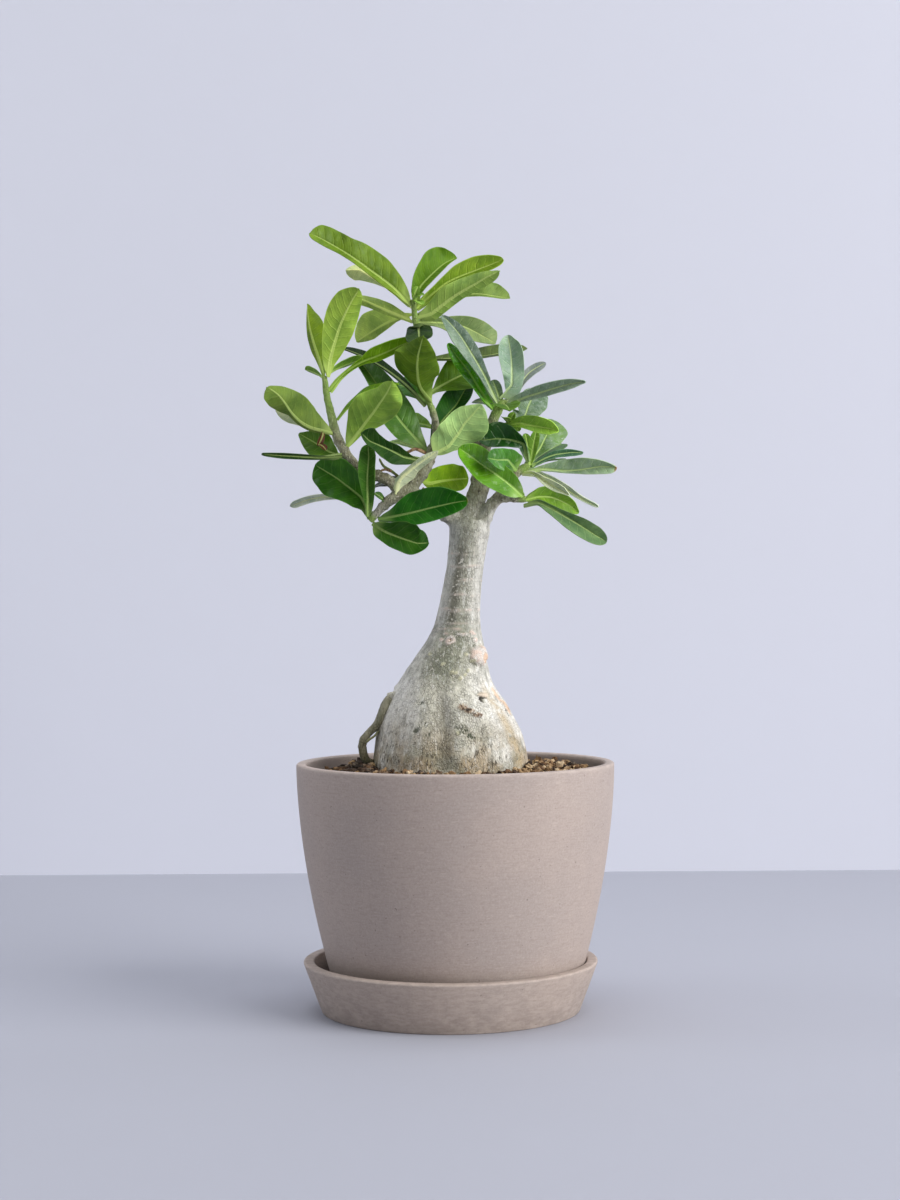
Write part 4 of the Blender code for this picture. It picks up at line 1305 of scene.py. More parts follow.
        (-13.7, 317.7, 6.3, 6.4), (-13.6, 315.9, 5.6, 6.5), (-13.6, 314.1, 3.8, 6), (-13.5, 312.4, 2, 4.3),
        (-13.5, 311.2),
    ),
    "leaf_top_2": (
        (-18, 331.8), (-21.5, 335, 0.3, 1), (-25.6, 338.7, 0.3, 1.9), (-29.7, 342.4, 0.3, 2.5),
        (-34.1, 346.4, 1.8, 3.2), (-38.8, 349.8, 3.2, 4.1), (-43.2, 352.3, 4.3, 4.2),
        (-46.9, 352.6, 3.3, 2.7), (-49.5, 352.6),
    ),
    "leaf_top_3": (
        (-14.9, 334.1), (-14.7, 338, 2.2, 1.6), (-12.9, 342.1, 4.2, 2.4), (-10.2, 345.7, 6.2, 2.6),
        (-7, 349.4, 7.7, 2.5), (-3.6, 353, 9.2, 2.2), (-0.4, 355.8, 8.7, 1.5), (2.4, 357.5, 4.8, 0.7),
        (4.4, 358.7),
    ),
    "leaf_top_4": (
        (-14, 331.2), (-10, 335.3, 1.7, 1.8), (-5, 339.7, 2.3, 2.1), (0.2, 343.7, 3.2, 2.7),
        (6.6, 346.8, 5.1, 2.4), (13.2, 349.4, 5.6, 2.1), (18.9, 351.6, 4.6, 2.5), (23.3, 353.4, 2.8, 2.1),
        (26.4, 354.6),
    ),
    "leaf_top_5": (
        (-13.6, 326.2), (-8.6, 327.6, 4.3, 3.2), (-3.6, 331, 5.8, 3.3), (1.3, 334.4, 6.7, 3),
        (6.8, 337.6, 6.3, 2.8), (12.5, 340.4, 5.3, 3), (17.4, 342.9, 3.7, 3.1), (21.2, 344.5, 1.9, 2.5),
        (23.9, 345.5),
    ),
    "leaf_top_6": (
        (-14, 327.2), (-9.2, 330.2, 1.1, 1.2), (-3.5, 333.8, 1.5, 1.9), (2.3, 337.2, 1.5, 1.9),
        (9, 339.6, 2.4, 1.3), (16, 340.2, 5.2, 1.1), (22, 339.7, 7.2, 0.8), (26.7, 339.3, 4.9, 0.7),
        (30, 339.3),
    ),
    "leaf_top_7": (
        (-13.6, 324.2), (-9, 324.6, 1.4, 1.2), (-3.7, 324.8, 2.1, 2.7), (1.7, 324.6, 3.3, 4.7),
        (7.3, 323.7, 4.7, 5.4), (12.6, 321.6, 6, 4.9), (17, 319.4, 6.4, 3.6), (20.4, 317.7, 6, 2),
        (22.8, 316.4),
    ),
    "leaf_top_8": (
        (-17.8, 324.8, 0.8, 0.6), (-21.3, 326.5, 1, 2.3), (-25.4, 328.4, 1.5, 3.3),
        (-29.4, 330.3, 1.8, 3.9), (-33.8, 332.4, 1.9, 4), (-38.1, 334.5, 2.1, 3.3),
        (-42.1, 335.9, 2.3, 2.4), (-45.2, 336.2, 2, 1.1), (-47.3, 335.5),
    ),
    "leaf_top_9": (
        (-17.3, 327.9), (-20.9, 327.7, 0.9, 1.9), (-24.9, 327, 1.3, 3.3), (-28.8, 325.9, 2.2, 7),
        (-32.9, 324.4, 2.9, 9.1), (-36.9, 322.5, 3.2, 9.9), (-40.3, 320.8, 2.4, 8.2),
        (-42.9, 319.4, 1.2, 5.6), (-44.7, 318.5),
    ),
}
# Colour of the side that a leaf turns to the front. The near-black hues, such as those of leaf_top_10,
# leaf_inner_2 and leaf_stem_2, hold painted shade besides the leaf's own dark green.
HUES = {
    "leaf_bud_1": (0.298, 0.54, 0.063),
    "leaf_bud_2": (0.097, 0.166, 0.09),
    "leaf_centre_1": (0.146, 0.218, 0.155),
    "leaf_centre_2": (0.275, 0.413, 0.281),
    "leaf_centre_3": (0.197, 0.29, 0.209),
    "leaf_centre_4": (0.177, 0.215, 0.204),
    "leaf_centre_5": (0.095, 0.367, 0.004),
    "leaf_centre_6": (0.065, 0.158, 0.004),
    "leaf_inner_1": (0.238, 0.452, 0.004),
    "leaf_inner_2": (0.005, 0.012, 0.005),
    "leaf_left_1": (0.137, 0.234, 0.004),
    "leaf_left_2": (0.229, 0.368, 0.046),
    "leaf_left_3": (0.16, 0.328, 0.01),
    "leaf_left_4": (0.118, 0.195, 0.03),
    "leaf_left_5": (0.219, 0.384, 0.053),
    "leaf_left_6": (0.148, 0.332, 0.004),
    "leaf_left_7": (0.582, 0.669, 0.364),
    "leaf_left_8": (0.07, 0.173, 0.004),
    "leaf_left_9": (0.007, 0.037, 0.006),
    "leaf_low_1": (0.03, 0.143, 0.004),
    "leaf_low_2": (0.507, 0.583, 0.483),
    "leaf_low_3": (0.037, 0.127, 0.01),
    "leaf_low_4": (0.011, 0.125, 0.004),
    "leaf_low_5": (0.02, 0.096, 0.005),
    "leaf_low_6": (0.584, 0.671, 0.442),
    "leaf_middle_1": (0.42, 0.66, 0.235),
    "leaf_middle_2": (0.01, 0.091, 0.004),
    "leaf_middle_3": (0.078, 0.216, 0.021),
    "leaf_middle_4": (0.012, 0.055, 0.006),
    "leaf_middle_5": (0.42, 0.6, 0.189),
    "leaf_outer_1": (0.091, 0.274, 0.004),
    "leaf_outer_2": (0.174, 0.348, 0.025),
    "leaf_outer_3": (0.118, 0.217, 0.088),
    "leaf_right_1": (0.004, 0.076, 0.004),
    "leaf_right_2": (0.039, 0.193, 0.004),
    "leaf_right_3": (0.122, 0.23, 0.067),
    "leaf_right_4": (0.055, 0.14, 0.081),
    "leaf_right_5": (0.274, 0.408, 0.234),
    "leaf_right_6": (0.489, 0.581, 0.448),
    "leaf_right_7": (0.543, 0.624, 0.44),
    "leaf_stem_1": (0.096, 0.182, 0.01),
    "leaf_stem_2": (0.004, 0.028, 0.004),
    "leaf_stem_3": (0.045, 0.199, 0.004),
    "leaf_stem_4": (0.064, 0.152, 0.004),
    "leaf_stem_5": (0.064, 0.107, 0.018),
    "leaf_stem_6": (0.139, 0.301, 0.004),
    "leaf_top_1": (0.109, 0.195, 0.011),
    "leaf_top_10": (0.006, 0.029, 0.004),
    "leaf_top_2": (0.6, 0.69, 0.298),
    "leaf_top_3": (0.083, 0.185, 0.004),
    "leaf_top_4": (0.202, 0.331, 0.026),
    "leaf_top_5": (0.225, 0.367, 0.07),
    "leaf_top_6": (0.145, 0.239, 0.047),
    "leaf_top_7": (0.197, 0.285, 0.111),
    "leaf_top_8": (0.36, 0.507, 0.104),
    "leaf_top_9": (0.429, 0.6, 0.124),
}


def leaf_sections(node):
    """Middle and margins of a leaf solid at its stations, from foot to tip."""
    work = bmesh.new()
    work.from_mesh(frame["nodes"][node].data)
    bmesh.ops.remove_doubles(work, verts=work.verts, dist=WELD)
    for tip in work.verts:
        levels, seen = [[tip]], {tip}
        while levels[-1]:
            step = {e.other_vert(v) for v in levels[-1] for e in v.link_edges} - seen
            seen |= step
            levels.append(list(step))
        levels.pop()
        if [len(level) for level in levels[1:]] == [4] * (len(levels) - 1) and len(levels) > 5:
            break
    else:
        raise RuntimeError(f"{node} has no tip")
    rings = [[np.array(v.co) for v in level] for level in levels[:0:-1]]
    tip_point = np.array(tip.co)
    work.free()
    middles, pairs = [], []
    for ring in rings:
        corners = ((a, b) for a in range(4) for b in range(a))
        i, j = max(corners, key=lambda pair: np.linalg.norm(ring[pair[0]] - ring[pair[1]]))
        ribs = [ring[k] for k in range(4) if k not in (i, j)]
        middles.append((ribs[0] + ribs[1]) / 2)
        pairs.append((ring[i], ring[j]))
    middle = np.array(middles)
    length = np.linalg.norm(tip_point - middle[0])
    along = (tip_point - middle[0]) / length
    up = sum((a + b) / 2 - m for (a, b), m in zip(pairs, middle))
    up -= along * (up @ along)
    up /= np.linalg.norm(up)
    right = np.cross(along, up)
    rights = [a if (a - m) @ right > 0 else b for (a, b), m in zip(pairs, middle)]
    lefts = [b if (a - m) @ right > 0 else a for (a, b), m in zip(pairs, middle)]
    share = np.append((middle - middle[0]) @ along / length, 1)
    ends = [np.vstack([part, tip_point]) for part in (middle, lefts, rights)]
    return Sections(share, *ends, up, along, length)


def outlined_sections(node, turned):
    """Sections of a leaf along its drawn outline, as deep and as broad as its solid."""
    solid = leaf_sections(node)
    foot, *between, tip = OUTLINES[node]
    rows = [(*foot, *FOOT_WIDTHS)[:4], *between, (*tip, 0, 0)]
    x, z, on_left, on_right = (np.array(column) * MM for column in zip(*rows))
    steps = np.hypot(np.diff(x), np.diff(z))
    share = np.append(0, np.cumsum(steps)) / steps.sum()
    depth = glide(solid.share, solid.middle[:, 1], share) + LAID_BACK.get(node, 0) * MM * share
    middle = np.stack([x, depth, z], axis=1)
    middle[0] = solid.middle[0]
    slope = unit(np.gradient(middle[:, [0, 2]], share, axis=0))
    to_left = np.stack([-slope[:, 1], np.zeros(len(x)), slope[:, 0]], axis=1)
    margins = []
    lean = LEANS.get(node, 0) * (to_left @ TOWARDS_LIGHT)
    for margin, width, sign in ((solid.left, on_left, 1), (solid.right, on_right, -1)):
        full = np.interp(share, solid.share, np.linalg.norm(margin - solid.middle, axis=1))
        deep = np.sqrt(np.maximum(full**2 - width**2, 0))
        deep = np.minimum(deep, 0.85 * width + 0.5 * MM) * (1 if turned else -1)
        deep = deep + lean * sign * width
        deep[-1] = width[-1] = 0
        margins.append(middle + to_left * (sign * width)[:, None] + np.outer(deep, (0, 1, 0)))
    length = np.linalg.norm(middle[-1] - middle[0])
    along = (middle[-1] - middle[0]) / length
    up = np.array([0, -1.0, 0]) + along * along[1]
    up /= np.linalg.norm(up)
    return Sections(share, middle, margins[0], margins[1], up, along, length)


# Small leaves: rise of the arch, fold along the rib in degrees, and how far along they are broadest
ARCH, FOLD, BELLY = 1.0, math.radians(12), 0.66


def drawn_sections(foot, tip, facing, width):
    """Sections of a small leaf, from its foot and tip, the way its upper side faces and its width."""
    foot, tip, up = (np.array(v, float) for v in (foot, tip, facing))
    length = np.linalg.norm(tip - foot)
    along = (tip - foot) / length
    up -= along * (up @ along)
    up /= np.linalg.norm(up)
    right = np.cross(along, up)
    share = np.array([0, 0.08, 0.2, 0.34, 0.5, 0.65, 0.79, 0.9, 0.965, 1])
    power = 0.5 * BELLY / (1 - BELLY)
    peak = BELLY**power * (1 - BELLY) ** 0.5
    stalk = 0.09 * width * np.clip(1 - 2 * share, 0, 1)
    half = width / 2 * share**power * (1 - share) ** 0.5 / peak + stalk
    middle = foot + np.outer(share, along) * length + np.outer(4 * ARCH * share * (1 - share), up)
    lift = np.outer(half * math.sin(FOLD), up)
    spread = np.outer(half * math.cos(FOLD), right)
    ends = [part * MM for part in (middle, middle - spread + lift, middle + spread + lift)]
    return Sections(share, *ends, up, along, length * MM)


# Thickness of a grown leaf's stalk, length from which it is that thick, distance between puckers
STALK, GROWN, PUCKER_SPACING = 1.15 * MM, 25 * MM, 4.3 * MM


def make_blade(name, sections, thickness, finishes, rng, pucker=0.0, wave=0.35, sunk=1.1):
    """A two-sided blade through the sections, thick at the stalk and rib and thin at the margins."""
    piece, grid = new_grid(name, COLUMNS, ROWS)
    mesh = piece.data
    across = np.sign(grid[:, 0]) * abs(grid[:, 0]) ** 1.4
    run = (grid[:, 1] + 1) / 2
    start = -sunk * MM / sections.length
    along = start + (1 - start) * (1 - (1 - run) ** 1.3)
    inside = np.clip(along, 0, 1)
    s = sections
    middle = glide_through(s.share, s.middle, inside)
    direction = (s.middle[1] - s.middle[0]) / np.linalg.norm(s.middle[1] - s.middle[0])
    middle += np.outer(np.minimum(along, 0) * s.length, direction)
    widths, lifts, sides = [], [], []
    for margin in (s.left, s.right):
        offset = margin - s.middle
        lift = offset @ s.up
        flat = offset - np.outer(lift, s.up)
        reach = np.linalg.norm(flat, axis=1)
        slope = np.append(np.clip(lift[:-1] / np.maximum(reach[:-1], 1e-6), -1.6, 1.6), 0)
        slope[:2] = slope[2]
        slope[-1] = slope[-2]
        direction = flat[:-1] / np.maximum(reach[:-1], 1e-6)[:, None]
        direction[0] = direction[1]
        direction = np.vstack([direction, direction[-1]])
        direction = np.stack([np.interp(inside, s.share, direction[:, k]) for k in range(3)], axis=1)
        sides.append(unit(direction))
        widths.append(np.sqrt(np.maximum(glide(s.share, reach**2, inside), 0)))
        lifts.append(glide(s.share, slope, inside))
    on_right = across > 0
    width = np.where(on_right, widths[1], widths[0])
    slope = np.where(on_right, lifts[1], lifts[0])
    phases = [rng.uniform(0, math.tau) for _ in range(4)]
    uneven = 1 + 0.05 * np.sin(3.1 * inside + np.where(on_right, phases[0], phases[1])) * inside
    out = abs(across)
    x = across * width * uneven
    rise = slope * width * out**1.35 - 0.07 * width * out**5
    edge = wave * MM * out**2 * np.sin(inside * 13 + np.where(on_right, phases[2], phases[3]))
    edge *= np.sin(np.pi * inside) * np.minimum(width / (6 * MM), 1)
    channel = -0.22 * MM * np.exp(-((x / (0.55 * MM)) ** 2)) * np.sin(np.pi * inside**0.6)
    ridges = np.sin((inside * s.length - 0.35 * abs(x)) / PUCKER_SPACING * math.tau)
    swell = pucker * MM * ridges * np.minimum(abs(x) / (2.5 * MM), 1) * (1 - out**4)
    side = np.where(on_right[:, None], sides[1], sides[0])
    points = middle + side * abs(x)[:, None] + np.outer(rise + edge + channel + swell, s.up)
    place_points(mesh, points)
    stalk = STALK * min(1, s.length / GROWN)
    rib = np.exp(-((x / (0.6 * MM)) ** 2)) * (1 - 0.8 * inside)
    foot = 1 - ease(0.06, 0.24, inside)
    thick = thickness * (1 - 0.35 * out) + (stalk - thickness) * np.maximum(rib, foot)
    group = piece.vertex_groups.new(name="thick")
    for i, weight in enumerate(thick / stalk):
        group.add([i], float(min(max(weight, 0.05), 1)), "REPLACE")
    keep_values(mesh, "across", across)
    keep_values(mesh, "along", inside)
    keep_values(mesh, "reach", x / MM)
    keep_values(mesh, "run", inside * s.length / MM)
    apply_modifier(
        piece,
        "SOLIDIFY",
        thickness=stalk,
        offset=-1,
        vertex_group="thick",
        use_even_offset=False,
        material_offset=1,
        material_offset_rim=0,
    )
    piece.vertex_groups.clear()
    activate(piece)
    bpy.ops.object.shade_smooth_by_angle(angle=LEAF_CREASE)
    for finish in finishes:
        mesh.materials.append(finish)
    return piece


# Distance between side veins, in millimetres
VEIN_SPACING = 4.4


def leaf_finish(name, hue_name, under=False, glossy=False):
    """Leaf skin in the leaf's own hue: mottled, with a pale rib, faint side veins and a thin pale margin."""
    f = Finish(name, metallic=0.0, specular_ior_level=0.55 if glossy else 0.16)
    hue = f.kept(hue_name, "Color")
    side = f.kept("across")
    across, along = abs(side), f.kept("along")
    x, y = abs(f.kept("reach")), f.kept("run")
    shine, bloom = f.kept("shine"), f.kept("bloom")
    cloud = f.noise(0.008, 3, seed=2.0)
    grain = f.noise(0.0009, 2, seed=5.0)
    other_side = f.eased(side, -0.001, 0.001)
    phase = (y - 0.5 * x - 0.03 * x * x) / VEIN_SPACING + (cloud - 0.5) * 0.9 + other_side * 0.43
    apart = abs(phase.fraction() - 0.5) * VEIN_SPACING
    fine_apart = abs((phase * 3).fraction() - 0.5) * 1.5
    reach = f.eased(across, 1.0, 0.7) * f.eased(along, 0.06, 0.2)
    veins = f.eased(apart, 0.4, 0.04) * reach
    fine_veins = f.eased(fine_apart, 0.28, 0.05) * reach * f.eased(cloud, 0.4, 0.65)
    broad = 1.0 if under else 0.72
    rib = f.eased(x - 0.95 * broad + along * (0.72 * broad), 0.2, -0.16) * f.eased(along, 1.0, 0.93)
    dark = f.multiplied(hue, (0.7, 0.76, 0.72))
    light = f.mix(0.03, f.multiplied(hue, (1.36, 1.26, 1.2)), (0.42, 0.6, 0.05))
    pale = f.mix(0.45, f.multiplied(hue, (1.9, 1.6, 1.5)), (0.6, 0.76, 0.26))
    vein = f.mix(0.11, f.multiplied(hue, (1.9, 1.7, 1.7)), (0.62, 0.7, 0.3))
    f.shade = f.mix(f.eased(cloud, 0.3, 0.72), dark, light)
    f.coat(f.eased(grain, 0.4, 0.72) * 0.3, light)
    f.coat(f.patches(0.5, 0.72, 0.002, 3, seed=7.0) * 0.3, dark)
    between = f.eased(apart, 0.4, 2.0) * f.eased(x, 0.4, 2.5)
    f.coat(between * (0.14 if under else 0.22), dark)
    f.coat(veins * (0.22 if under else 0.36), vein)
    f.coat(fine_veins * 0.16, vein)
    f.coat(f.eased(across, 0.94, 0.995) * 0.5, vein)
    f.coat(f.eased(along, 0.2, 0.03) * 0.65, pale)
    wet = f.patches(0.52, 0.66, 0.0055, 3, stretch=(1, 1, 0.6), seed=21.0) * shine
    f.coat(wet * 0.3, f.multiplied(hue, (0.45, 0.5, 0.45)))
    # Painted highlight: pale sheen patches on the shiniest leaves.
    sheen = f.patches(0.55, 0.68, 0.0045, 3, rough=0.6, seed=23.0) * f.eased(shine, 0.6, 1.0)
    f.coat(sheen * 0.34, (0.46, 0.62, 0.36))
    wax = f.patches(0.42, 0.68, 0.004, 4, rough=0.7, seed=9.0)
    f.coat(wax * bloom * 0.5, (0.4, 0.48, 0.42))
    specks = f.patches(0.66, 0.72, 0.0009, 1, seed=11.0)
    f.coat(specks * bloom * 0.5, (0.62, 0.68, 0.62))
    f.coat(rib * 0.9, pale)
    f.coat(f.kept("brown") * 0.9, (0.32, 0.14, 0.03))
    raised = 0.5 if under else -0.6
    height = (veins + rib + fine_veins * 0.3 - between * 0.5) * raised + grain * 0.22
    gloss = 0.56 - shine * 0.3 + 0.12 * cloud + 0.06 * grain
    return f.finish(gloss, height, 0.0005, 0.7)


def keep_leaf_look(piece, hue, turned, shine, bloom, browned):
    """Keeps the leaf's hues, how it shines, its bloom and where it has browned."""
    count = len(piece.data.vertices)
    other = UPPER_GREEN if turned else tuple(0.5 * h + 0.5 * u for h, u in zip(hue, UNDER_GREEN))
    faces_front = {"under_hue": hue, "upper_hue": other} if turned else {"upper_hue": hue, "under_hue": other}
    for name, values in faces_front.items():
        layer = piece.data.attributes.new(name, "FLOAT_COLOR", "POINT")
        layer.data.foreach_set("color", np.tile((*values, 1.0), count).astype(np.float32))
    keep_values(piece.data, "shine", np.full(count, shine))
    keep_values(piece.data, "bloom", np.full(count, bloom))
    along, across = np.zeros(count), np.zeros(count)
    piece.data.attributes["along"].data.foreach_get("value", along)
    piece.data.attributes["across"].data.foreach_get("value", across)
    side, start = browned or (0, 2)
    keep_values(piece.data, "brown", ease(start, start + 0.03, along + 0.12 * side * across))


class DESERT_ROSE_OT_leaves(bpy.types.Operator):
    """Makes every grown leaf from its plain solid"""

    bl_idname = "desert_rose.leaves"
    bl_label = "Leaves"

    def execute(self, context):
        s = context.scene.desert_rose_plant
        upper = leaf_finish("leaf_upper", "upper_hue")
        under = leaf_finish("leaf_under", "under_hue", under=True)
        glossy = leaf_finish("leaf_glossy", "upper_hue", glossy=True)
        nodes = sorted(node for node in frame["nodes"] if node.startswith("leaf_"))
        for number, node in enumerate(nodes):
            rng = random.Random(LEAF_SEEDS + number)
            pucker = PUCKERED.get(node, 0.0)
            turned = node in TURNED
            shine = UNDER_SHINE if turned else SHINE.get(node, USUAL_SHINE)
            face = glossy if shine > WET_SHINE else upper
            finishes = (under, upper) if turned else (face, under)
            sections = outlined_sections(node, turned) if node in OUTLINES else leaf_sections(node)
            blade = make_blade(node + "_blade", sections, s.blade, finishes, rng, pucker)
            bloom = GROWN_BLOOM if SLOT_OF[node] == "pale_leaf" else 0.0
            keep_leaf_look(blade, HUES[node], turned, shine, bloom, BROWNED.get(node))
            hand_over(blade, SLOT_OF[node], node)
        return {"FINISHED"}


# Thin twigs and stalks: places and radius, in millimetres, and what they are
TWIGS = [
    (
        [(-40.6, -9, 125.6), (-38.6, -10, 127.6), (-36, -10, 129.4), (-33.4, -9, 131.8), (-31, -8, 132)],
        0.5,
        "root",
    ),
    ([(-10.8, -3.3, 262.2), (-16, -6, 264), (-19, -5.5, 262.8), (-21.5, -3, 262)], 0.7, "dry"),
    ([(-23.6, -5, 251), (-27.5, -6, 254), (-31, -5, 256.4), (-33, -4, 260)], 0.6, "green"),
    ([(-27, -6, 253.6), (-30, -8, 254.4), (-33.4, -10, 252.8)], 0.55, "dry"),
    ([(-15.8, -3, 240), (-13, -7, 243), (-12, -8, 246)], 0.7, "dry"),
]
TWIG_SIDES, TWIG_STEPS = 10, 24


def twig_finish(name, main, dark):
    """Mottled skin of a twig or dry stalk."""
    f = Finish(name, metallic=0.0, specular_ior_level=0.25)
    mottle = f.noise(0.0022, 3, seed=2.0)
    f.shade = f.mix(f.eased(mottle, 0.4, 0.62), main, dark)
    return f.finish(0.6 + 0.2 * mottle, mottle, 0.0004, 0.7)


def make_twig(name, places, radius, finish):
    """A thin closed stalk through the places, thicker at its foot and rounded at its end."""
    piece, grid = new_grid(name, TWIG_SIDES, TWIG_STEPS)
    run, angle = (grid[:, 1] + 1) / 2, (grid[:, 0] + 1) * math.pi
    places = np.array(places, float)
    share = np.append(0, np.cumsum(np.linalg.norm(np.diff(places, axis=0), axis=1)))
    share /= share[-1]
    middle = glide_through(share, places, run)
    ahead = glide_through(share, places, run + 0.01)
    behind = glide_through(share, places, run - 0.01)
    along = unit(ahead - behind)
    side = unit(np.cross(along, (0.1, 1, 0.2)))
    up = np.cross(side, along)
    reach = radius * (1.25 - 0.35 * run) * np.sqrt(np.minimum(1, 14 * np.minimum(run, 1 - run)))
    reach *= 1 + 0.12 * roughness_at(middle, 2.0, 1)
    points = middle + reach[:, None] * (np.cos(angle)[:, None] * side + np.sin(angle)[:, None] * up)
    place_points(piece.data, points * MM)
    close_seams(piece)
    bpy.ops.object.shade_smooth()
    piece.data.materials.append(finish)
    return piece


class DESERT_ROSE_OT_twigs(bpy.types.Operator):
    """Makes the thin root strand, twiglets and dry leaf stalks"""

    bl_idname = "desert_rose.twigs"
    bl_label = "Twigs"

    def execute(self, context):
        finishes = {
            "root": twig_finish("root_strand", (0.26, 0.26, 0.14), (0.12, 0.12, 0.06)),
            "dry": twig_finish("dry_stalk", (0.42, 0.28, 0.15), (0.16, 0.08, 0.04)),
            "green": twig_finish("green_stalk", (0.24, 0.32, 0.1), (0.14, 0.15, 0.06)),
        }
        for number, (places, radius, kind) in enumerate(TWIGS, 1):
            twig = make_twig(f"twig_{number}", places, radius, finishes[kind])
            hand_over(twig, SLOT_OF["woody_body"])
        return {"FINISHED"}


# Thickness of a small leaf, in metres
SMALL_BLADE = 0.0004
# Small leaves, too small to be solids of their own: foot, tip, upper side, width, look
SMALL_LEAVES = [
    ((-58.6, -4, 297.5), (-68, 4, 303), (0.2, 0.5, 0.8), 6, "young_leaf"),
    ((-57.4, -3, 300), (-41, 6, 308), (-0.2, 0.4, 0.85), 8, "young_leaf"),
    ((-58.4, -4, 300), (-57, -2, 307), (0.2, -0.9, 0.2), 3, "young_leaf"),
    ((-30, -9.5, 238.5), (-35, -12, 243), (0, -0.6, 0.8), 5, "leaf"),
    ((-11, -2, 238.5), (0.5, 14, 228), (0, -0.6, 0.8), 12, "pale_leaf"),
    ((25, 5, 286), (21, 10, 298), (0, -0.9, 0.3), 6, "pale_leaf"),
    ((38.5, 3.5, 256.8), (54.5, 42, 262), (0, -0.3, 0.95), 13, "leaf"),
    ((38, 3.5, 257.4), (56, 46, 270), (0, -0.4, 0.9), 13, "leaf"),
    ((38.2, 0, 257), (36.3, 5, 272), (0.2, -0.9, 0.1), 5, "young_leaf"),
    ((38.6, 0.5, 257), (41.4, -2, 273), (-0.2, -0.9, 0.1), 5, "young_leaf"),
    ((28.4, -2.5, 275.6), (25.5, -9, 278.5), (0, -0.3, 0.9), 4.5, "young_leaf"),
    ((28.6, -2, 275.6), (33, -8, 272), (0, -0.5, 0.8), 4.5, "young_leaf"),
    ((28.4, -1.5, 275.8), (31, -5, 281), (0, -0.8, 0.5), 4, "young_leaf"),
    ((-16.6, -1.6, 334.8), (-14, -3.2, 341), (0, -0.9, 0.3), 3.6, "young_leaf"),
    ((-16, -2.4, 334.5), (-11.5, -6.5, 336.5), (-0.2, -0.4, 0.9), 4.5, "young_leaf"),
    ((-16.2, -2.6, 334), (-12.4, -9, 331.5), (0.2, -0.4, 0.9), 5, "young_leaf"),
    ((22, 4, 285), (11.5, 12, 288), (0, -0.6, 0.8), 6, "pale_leaf"),
    ((-58.8, -8, 273.2), (-61.4, -11, 265.4), (0.7, -0.6, 0.2), 3.2, "withered"),
    ((-61.2, -11, 266), (-57.4, -13, 263.2), (0.3, -0.6, 0.7), 3.6, "withered"),
]


class DESERT_ROSE_OT_small_leaves(bpy.types.Operator):
    """Makes the small, young and withered leaves"""

    bl_idname = "desert_rose.small_leaves"
    bl_label = "Small leaves"

    def execute(self, context):
        s = context.scene.desert_rose_plant
        pair = [bpy.data.materials[name] for name in ("leaf_upper", "leaf_under")]
        hues = {
            "leaf": tuple(s.leaf_green),
            "young_leaf": tuple(s.young_green),
            "pale_leaf": (0.12, 0.2, 0.1),
            "withered": (0.07, 0.012, 0.006),
        }
        for number, (foot, tip, facing, width, look) in enumerate(SMALL_LEAVES, 1):
            rng = random.Random(SMALL_LEAF_SEEDS + number)
            sections = drawn_sections(foot, tip, facing, width)
            name = f"small_leaf_{number:02d}"
            blade = make_blade(name, sections, SMALL_BLADE, pair, rng, wave=0.15, sunk=0.5)
            bloom = SMALL_BLOOM if look == "pale_leaf" else 0.0
            keep_leaf_look(blade, hues[look], False, SMALL_SHINE, bloom, None)
            hand_over(blade, "leaf" if look == "withered" else look)
        return {"FINISHED"}


# ---- stage ----


def aim(piece, target):
    piece.rotation_euler = (Vector(target) - piece.location).to_track_quat("-Z", "Y").to_euler()


def add_soft_light(name, place, target, size, power, tint):
    data = bpy.data.lights.new(name, "AREA")
    data.shape = "DISK"
    data.size = size
    data.energy = power
    data.color = tint
    light = bpy.data.objects.new(name, data)
    bpy.context.scene.collection.objects.link(light)
    light.location = place
    aim(light, target)


def stage_finish(name, main, roughness, see_through=False):
    """A plain pale surface; the wall's colour darkens to the upper right, painted shade that evens out the
    key light, and the wall can be seen through from behind.
    """
    f = Finish(name, metallic=0.0)
    cloud = f.noise(0.25, 3)
    f.shade = f.mix(cloud, toned(main, 0.98), toned(main, 1.02))
    if see_through:
        across, height = (f.node("ShaderNodeSeparateXYZ", None, {"Vector": f.place}, axis) for axis in "XZ")
        # Painted shade: darker towards the upper right, where the key light falls brightest.
        f.coat(f.eased(across + height, -0.5, 1.1), toned(main, 0.8))
    f.finish(roughness + 0.1 * cloud, f.noise(0.03, 3), 0.0006, 0.25)
    if see_through:
        clear = f.node("ShaderNodeBsdfTransparent")
        behind = f.node("ShaderNodeNewGeometry", None, None, "Backfacing")
        solid = Value(f, f.shader.outputs[0])
        mixed = f.node("ShaderNodeMixShader", None, {0: behind, 1: solid, 2: clear})
        f.tree.links.new(mixed.socket, f.tree.nodes["Material Output"].inputs[0])
    return f.material


def add_plane(name, place, size, tilt, finish):
    deselect()
    bpy.ops.mesh.primitive_plane_add(size=1, location=place, rotation=(tilt, 0, 0))
    plane = bpy.context.object
    plane.name = name
    plane.scale = (*size, 1)
    bpy.ops.object.transform_apply(location=True, rotation=True, scale=True)
    plane.data.materials.append(finish)


# Lights: name, place, target, size, tint
LIGHTS = [
    ("key", (1.75, -1.05, 1.0), (0, 0, 0.2), 1.9, (1.0, 0.985, 0.985)),
    ("overhead", (0, 0, 2.1), (0, 0, 0), 1.6, (0.95, 0.97, 1.0)),
    ("fill", (-1.6, 0.1, 0.9), (0, 0, 0.2), 1.0, (0.93, 0.96, 1.0)),
]
SKY_TINT = (0.9, 0.9, 0.96, 1)
# Width and depth of the table, width and height of the wall
TABLE_SIZE, WALL_SIZE = (5, 4), (5, 3)
# Focal length and width of the camera's sensor, in millimetres
LENS, SENSOR = 62.5, 36


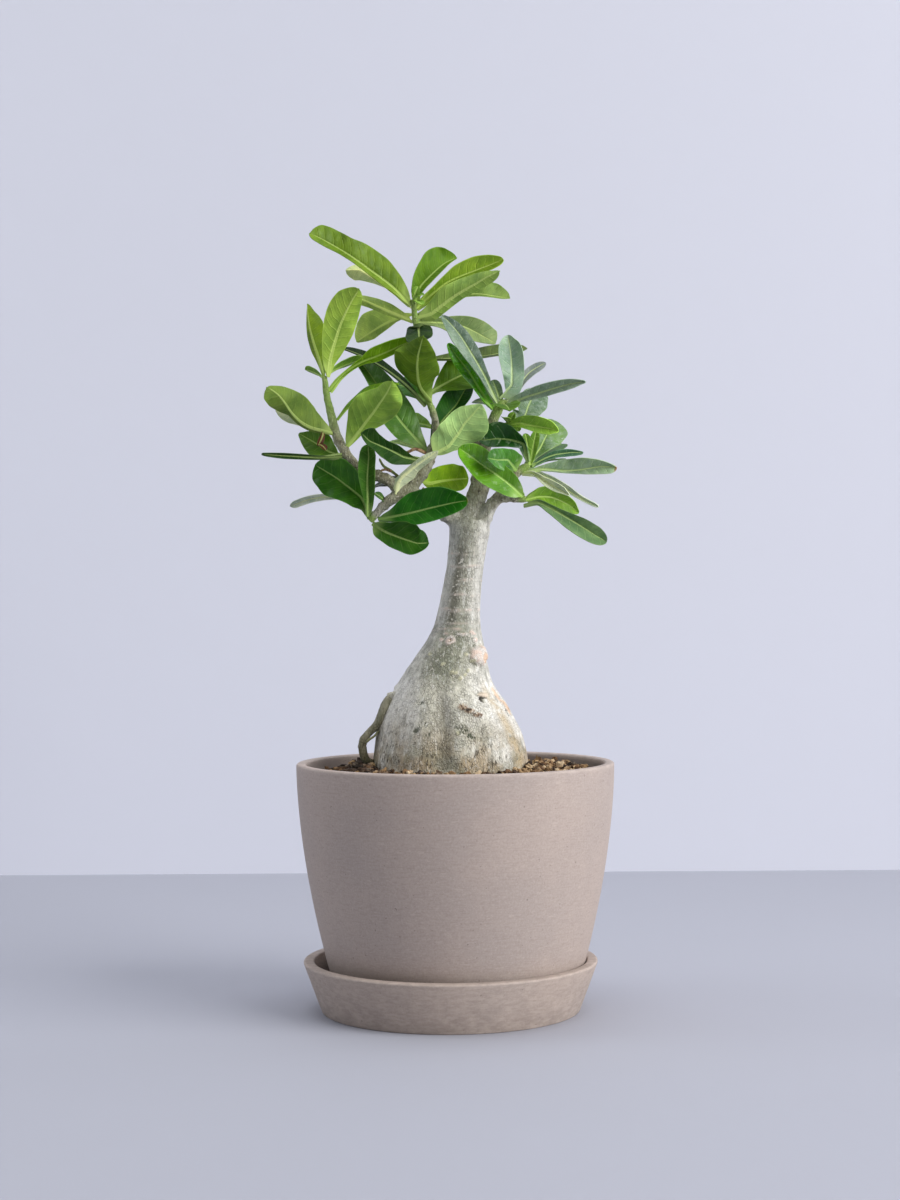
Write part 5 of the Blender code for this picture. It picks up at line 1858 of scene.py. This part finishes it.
class DESERT_ROSE_OT_stage(bpy.types.Operator):
    """Adds the table, the wall, the lights and the camera"""

    bl_idname = "desert_rose.stage"
    bl_label = "Stage"

    def execute(self, context):
        s = context.scene.desert_rose_stage
        table = stage_finish("table", tuple(s.table), 0.7)
        add_plane("table", (0, s.wall_back - TABLE_SIZE[1] / 2, 0), TABLE_SIZE, 0, table)
        wall = stage_finish("wall", tuple(s.wall), 0.8, see_through=True)
        add_plane("wall", (0, s.wall_back, WALL_SIZE[1] / 2), WALL_SIZE, math.radians(90), wall)
        for name, place, target, size, tint in LIGHTS:
            add_soft_light(name, place, target, size, getattr(s, name), tint)
        world = bpy.data.worlds.new("surroundings")
        world.use_nodes = True
        background = world.node_tree.nodes["Background"]
        background.inputs["Color"].default_value = SKY_TINT
        background.inputs["Strength"].default_value = s.sky
        context.scene.world = world
        data = bpy.data.cameras.new("camera")
        data.lens = LENS
        data.sensor_width = SENSOR
        camera = bpy.data.objects.new("camera", data)
        context.scene.collection.objects.link(camera)
        camera.location = (0, -s.camera_back, s.camera_height)
        camera.rotation_euler = (math.radians(90), s.roll, 0)
        context.scene.camera = camera
        context.scene.view_settings.view_transform = "Standard"
        return {"FINISHED"}


# ---- panel, registration and run ----

STEPS = ("pot", "saucer", "grit", "wood", "twigs", "leaves", "small_leaves", "stage")


class DESERT_ROSE_PT_panel(bpy.types.Panel):
    """Lists the steps and the settings"""

    bl_label = "Desert rose"
    bl_idname = "DESERT_ROSE_PT_panel"
    bl_space_type = "VIEW_3D"
    bl_region_type = "UI"
    bl_category = "Desert rose"

    def draw(self, context):
        for step in STEPS:
            self.layout.operator(f"desert_rose.{step}")
        for group in SETTINGS:
            values = getattr(context.scene, group)
            for key in values.bl_rna.properties.keys():
                if key not in ("rna_type", "name"):
                    self.layout.prop(values, key)


SETTINGS = {
    "desert_rose_pot": PotSettings,
    "desert_rose_grit": GritSettings,
    "desert_rose_plant": PlantSettings,
    "desert_rose_stage": StageSettings,
}
CLASSES = (
    *SETTINGS.values(),
    DESERT_ROSE_OT_pot,
    DESERT_ROSE_OT_saucer,
    DESERT_ROSE_OT_grit,
    DESERT_ROSE_OT_wood,
    DESERT_ROSE_OT_twigs,
    DESERT_ROSE_OT_leaves,
    DESERT_ROSE_OT_small_leaves,
    DESERT_ROSE_OT_stage,
    DESERT_ROSE_PT_panel,
)


def register():
    for cls in CLASSES:
        bpy.utils.register_class(cls)
    for name, group in SETTINGS.items():
        setattr(bpy.types.Scene, name, bpy.props.PointerProperty(type=group))


def unregister():
    for name in SETTINGS:
        delattr(bpy.types.Scene, name)
    for cls in reversed(CLASSES):
        bpy.utils.unregister_class(cls)


def main():
    register()
    for step in STEPS:
        getattr(bpy.ops.desert_rose, step)()
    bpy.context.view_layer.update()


if __name__ == "__main__":
    main()
